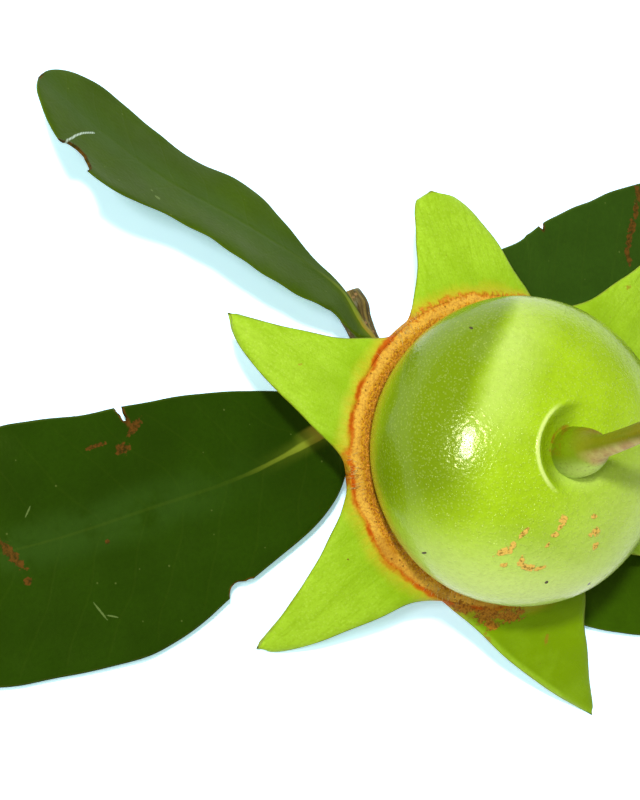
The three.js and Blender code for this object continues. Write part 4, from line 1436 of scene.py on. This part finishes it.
def leaf_material(name, leaf, settings, upper):
    """One side of a leaf, placed by distance along and across its midrib."""
    s, surface, material = new_material(name + (" upper" if upper else " under"))
    x, y, crack = s.parts(s.place())
    place = s.join(x, y, 0.0)
    share, edge, cut = s.parts(s.place("zone"))
    across = s.math("ABSOLUTE", y)
    green = tinted(settings.green, leaf["tone"]) if upper else settings.underside
    dark = [k * 0.66 for k in green]
    cloud = s.mottle(place, 17.0, 0.36, 0.7)
    base = s.over(green, dark, cloud, 0.6)
    fine = s.mottle(place, 0.9, 0.4, 0.7)
    base = s.over(base, dark, fine, 0.3)
    # Side veins leave the midrib at a steep angle and curve towards the tip.
    bend = s.wander(place, 14.0, 1.0, 5.0)
    course = s.plus(s.linear(across, -VEIN_SLANT, x), bend)
    wave = s.math("COSINE", s.times(course, 2 * math.pi / VEIN_SPACING))
    veins = s.times(s.step(wave, 0.965, 1.0), s.step(edge, 0.6, 2.5))
    base = s.over(base, settings.rib, veins, 0.008 if upper else 0.22)
    # A greyish painted sheen lies in a strip beside the midrib.
    painted_sheen_band = s.times(s.step(across, 6.0, 1.0), s.step(share, 0.1, 0.4))
    painted_sheen_band = s.times(painted_sheen_band, s.mottle(place, 8.0, 0.3, 0.55))
    base = s.over(base, settings.painted_sheen, painted_sheen_band, 0.35 if upper else 0.1)
    wobble = s.wander(place, 3.0, 2.0, 0.3)
    base_rib = s.times(s.step(share, 0.14, 0.02), s.step(y, 0.9, 0.2))
    rib_width = s.linear(share, -0.5, s.linear(base_rib, 0.9, 0.55))
    rib = s.step(s.plus(across, wobble), rib_width, s.times(rib_width, 0.4))
    fade = s.linear(s.step(share, 0.02, 0.24), -0.965, 1.0)
    rib = s.times(rib, fade if upper else 0.85)
    flank = s.times(s.step(y, 0.4, -0.3), s.step(across, 2.6, 1.9))
    rib = s.most(rib, s.times(flank, s.step(share, 0.1, 0.04)))
    rib_tone = s.over(settings.stalk, settings.rib, s.step(share, 0.03, 0.09))
    base = s.over(base, rib_tone, rib, 0.75)
    halo = s.times(s.step(across, 2.4, 0.3), s.step(share, 0.2, 0.0))
    base = s.over(base, settings.rib, halo, 0.25)
    stalk = s.step(share, 0.012, 0.0)
    ochre = s.over(settings.rib, settings.stalk, s.noise(place, 1.2, 3.0))
    base = s.over(base, ochre, stalk)
    base = s.over(base, STALK_END, s.step(x, 4.0, 1.0), 0.6)
    # Dry places: the margin, bitten edges, scars and the pointed tip.
    margin = s.step(s.plus(edge, wobble), 0.42, 0.1)
    margin = s.times(margin, s.step(share, 0.0, 0.03))
    base = s.over(base, MARGIN, margin, 0.16)
    scar = flat_marks(s, place, leaf["scars"], 2.8)
    bitten = s.step(s.plus(cut, wobble), 0.34, 0.08)
    tip = s.times(s.step(share, 0.99, 0.998), s.step(across, 1.6, 0.6))
    dry = s.most(s.most(scar, bitten), tip)
    crisp = s.over(settings.dry, DRY_DARK, s.step(s.noise(place, 0.9, 4.0, 0.7), 0.38, 0.66))
    base = s.over(base, crisp, dry, 0.75)
    scratch = flat_marks(s, place, leaf["scratches"], 1.2)
    base = s.over(base, SCRATCH, scratch, 0.3)
    crack = s.times(s.step(crack, 0.26, 0.1), 0.95)
    base = s.over(base, CRACK, crack)
    pale_dots = s.dots(place, 3.6, 0.06)
    base = s.over(base, LEAF_DOT, pale_dots, 0.3)
    gloss = s.linear(s.noise(place, 5.0, 3.0), 0.2, 0.34 if upper else 0.5)
    rough = s.most(gloss, s.times(dry, 0.8))
    height = s.linear(veins, -0.15, s.times(s.noise(place, 0.6, 3.0), 0.6))
    height = s.plus(height, s.times(s.noise(place, 2.6, 2.0), 0.7))
    height = s.minus(height, s.times(dry, 0.4))
    dress(s, surface, Base_Color=base, Roughness=rough, Specular_IOR_Level=0.1, Specular_Tint=TINT)
    dress(s, surface, Normal=s.bump(height, 0.0001, 0.8))
    return material


class MANGROVE_OT_leaves(Operator):
    """Builds the two pairs of leaves with their midribs, bites and dry marks"""

    bl_idname = "mangrove.leaves"
    bl_label = "Leaves"

    def execute(self, context):
        m = context.scene.mangrove
        foot = fruit_foot(m.fruit)
        for number, (node, leaf) in enumerate(LEAVES.items()):
            piece = build_leaf(node + "_blade", leaf, m.leaf, foot, m.seed + 13 * number)
            finish_piece(piece, node)
        return {"FINISHED"}


# ---------------------------------------------------------------- stage


# The floor as the pieces reflect it, its tint as the camera sees it, and its glow: the last two
# show only in the shadows.
PAPER = (0.9, 0.9, 0.9)
SHADE = (0.95, 1.22, 1.45)
GLOW = (0.26, 0.42, 0.48)
FLOOR_REACH = 3.0
FLOOR_GAP = 0.02 * MM
WORLD_TINT, WORLD_LIGHT = (0.97, 1.0, 0.78), 0.34
# The camera's focal length in millimetres. The calyx stands right of the middle of the view and
# a little below it.
LENS = 113.4
CALYX_RIGHT = 28.333 * MM
CALYX_DOWN = 8.5 * MM


def floor_material(stage):
    s, surface, material = new_material("floor")
    tree = s.tree
    tree.nodes.remove(surface)
    seen = s.add("LightPath", out=0)
    glossy = s.add("LightPath", out=3)
    paper = s.over(tinted(stage.floor, PAPER), tinted(stage.floor, SHADE), seen)
    white = s.add("BsdfDiffuse", Color=paper)
    glow = s.most(seen, s.times(glossy, 0.4))
    glow = s.add("Emission", Color=GLOW, Strength=glow)
    both = s.add("AddShader", white, glow)
    output = next(n for n in tree.nodes if n.bl_idname == "ShaderNodeOutputMaterial")
    s.feed(output.inputs[0], both)
    return material


def sun_lamp(name, direction, energy, angle, diffuse=True, glossy=True):
    """A far lamp that lights the whole floor evenly, with its width as an angle in degrees."""
    lamp = bpy.data.lights.new(name, "SUN")
    lamp.energy, lamp.angle = energy, math.radians(angle)
    holder = bpy.data.objects.new(name, lamp)
    bpy.context.scene.collection.objects.link(holder)
    holder.rotation_euler = direction.to_track_quat("Z", "Y").to_euler()
    holder.visible_diffuse, holder.visible_glossy = diffuse, glossy


class MANGROVE_OT_stage(Operator):
    """Builds the pale floor, the lamps and the camera"""

    bl_idname = "mangrove.stage"
    bl_label = "Floor, lamps and camera"

    def execute(self, context):
        scene = context.scene
        m = scene.mangrove
        stage = m.stage
        foot = fruit_foot(m.fruit)
        eye = self.camera(scene, stage, foot)
        self.floor(stage)
        self.lamps(scene, eye)
        return {"FINISHED"}

    def camera(self, scene, stage, foot):
        """The camera looks down at the sprig, with the far side of the row frame at its top."""
        lift, turn = stage.eye_elevation, stage.eye_azimuth
        back = Vector((
            math.sin(turn) * math.cos(lift), -math.cos(turn) * math.cos(lift), math.sin(lift)
        ))
        right = Vector((0, 1, 0)).cross(back).normalized()
        up = back.cross(right)
        data = bpy.data.cameras.new("camera")
        data.lens = LENS
        camera = bpy.data.objects.new("camera", data)
        scene.collection.objects.link(camera)
        eye = Vector(foot) + Vector((0, 0, RIM_HEIGHT)) + back * stage.distance
        eye -= right * CALYX_RIGHT - up * CALYX_DOWN
        camera.matrix_world = (
            Matrix.Translation(eye) @ Matrix((right, up, back)).transposed().to_4x4()
        )
        scene.camera = camera
        return camera.matrix_world

    def floor(self, stage):
        mesh = bpy.data.meshes.new("floor")
        turns = ((-1, -1), (1, -1), (1, 1), (-1, 1))
        corners = [(x * FLOOR_REACH, y * FLOOR_REACH, 0) for x, y in turns]
        mesh.from_pydata(corners, [], [(0, 1, 2, 3)])
        mesh.materials.append(floor_material(stage))
        floor = bpy.data.objects.new("floor", mesh)
        floor.location.z = -FLOOR_GAP
        bpy.context.scene.collection.objects.link(floor)

    def lamps(self, scene, eye):
        def from_camera(right, up, back):
            return eye.to_3x3() @ Vector((right, up, back))

        # The key lamp casts the shadows, a weaker one beside it makes the highlight, and two
        # that only glossy surfaces show stretch the highlight up and down.
        sun_lamp("key", from_camera(-0.01, 0.34, 1.0), 2.1, 5, glossy=False)
        sun_lamp("highlight", from_camera(-0.2, 0.13, 1.0), 0.8, 8)
        sun_lamp("upper gleam", from_camera(-0.19, 0.2, 1.0), 1.3, 10, diffuse=False)
        sun_lamp("lower gleam", from_camera(-0.22, 0.03, 1.0), 1.3, 10, diffuse=False)
        sun_lamp("window", from_camera(0.05, 1.0, 0.35), 0.3, 32)
        world = bpy.data.worlds.new("white room")
        scene.world = world
        world.use_nodes = True
        tree = world.node_tree
        s = Shading(tree)
        tree.nodes.clear()
        path = tree.nodes.new("ShaderNodeLightPath")
        plain = s.add("Background", Color=WORLD_TINT, Strength=WORLD_LIGHT)
        bright = s.add("Background", Color=(1, 1, 1), Strength=1.0)
        white = s.most(path.outputs["Is Camera Ray"], path.outputs["Is Transmission Ray"])
        mixed = s.add("MixShader", white, plain, bright)
        output = tree.nodes.new("ShaderNodeOutputWorld")
        s.feed(output.inputs[0], mixed)
        scene.view_settings.view_transform = "Standard"


# ---------------------------------------------------------------- panel and registration


class MANGROVE_PT_panel(Panel):
    """Lists the sprig's pieces and settings"""

    bl_idname = "MANGROVE_PT_panel"
    bl_label = "Mangrove apple"
    bl_space_type = "VIEW_3D"
    bl_region_type = "UI"
    bl_category = "Mangrove"

    def draw(self, context):
        m = context.scene.mangrove
        for operator in PIECES:
            self.layout.operator(operator.bl_idname)
        for group in (m.fruit, m.calyx, m.twig, m.leaf, m.stage):
            box = self.layout.box()
            for name in group.__annotations__:
                box.prop(group, name)
        self.layout.prop(m, "seed")


SETTINGS = (
    FruitSettings, CalyxSettings, TwigSettings, LeafSettings, StageSettings, MangroveSettings
)
PIECES = (
    MANGROVE_OT_stage, MANGROVE_OT_berry, MANGROVE_OT_calyx, MANGROVE_OT_twig, MANGROVE_OT_leaves
)


def register():
    for kind in (*SETTINGS, *PIECES, MANGROVE_PT_panel):
        bpy.utils.register_class(kind)
    bpy.types.Scene.mangrove = PointerProperty(type=MangroveSettings)


def unregister():
    del bpy.types.Scene.mangrove
    for kind in reversed((*SETTINGS, *PIECES, MANGROVE_PT_panel)):
        bpy.utils.unregister_class(kind)


def main():
    register()
    for operator in PIECES:
        group, name = operator.bl_idname.split(".")
        getattr(getattr(bpy.ops, group), name)()
    bpy.context.view_layer.update()


if __name__ == "__main__":
    main()
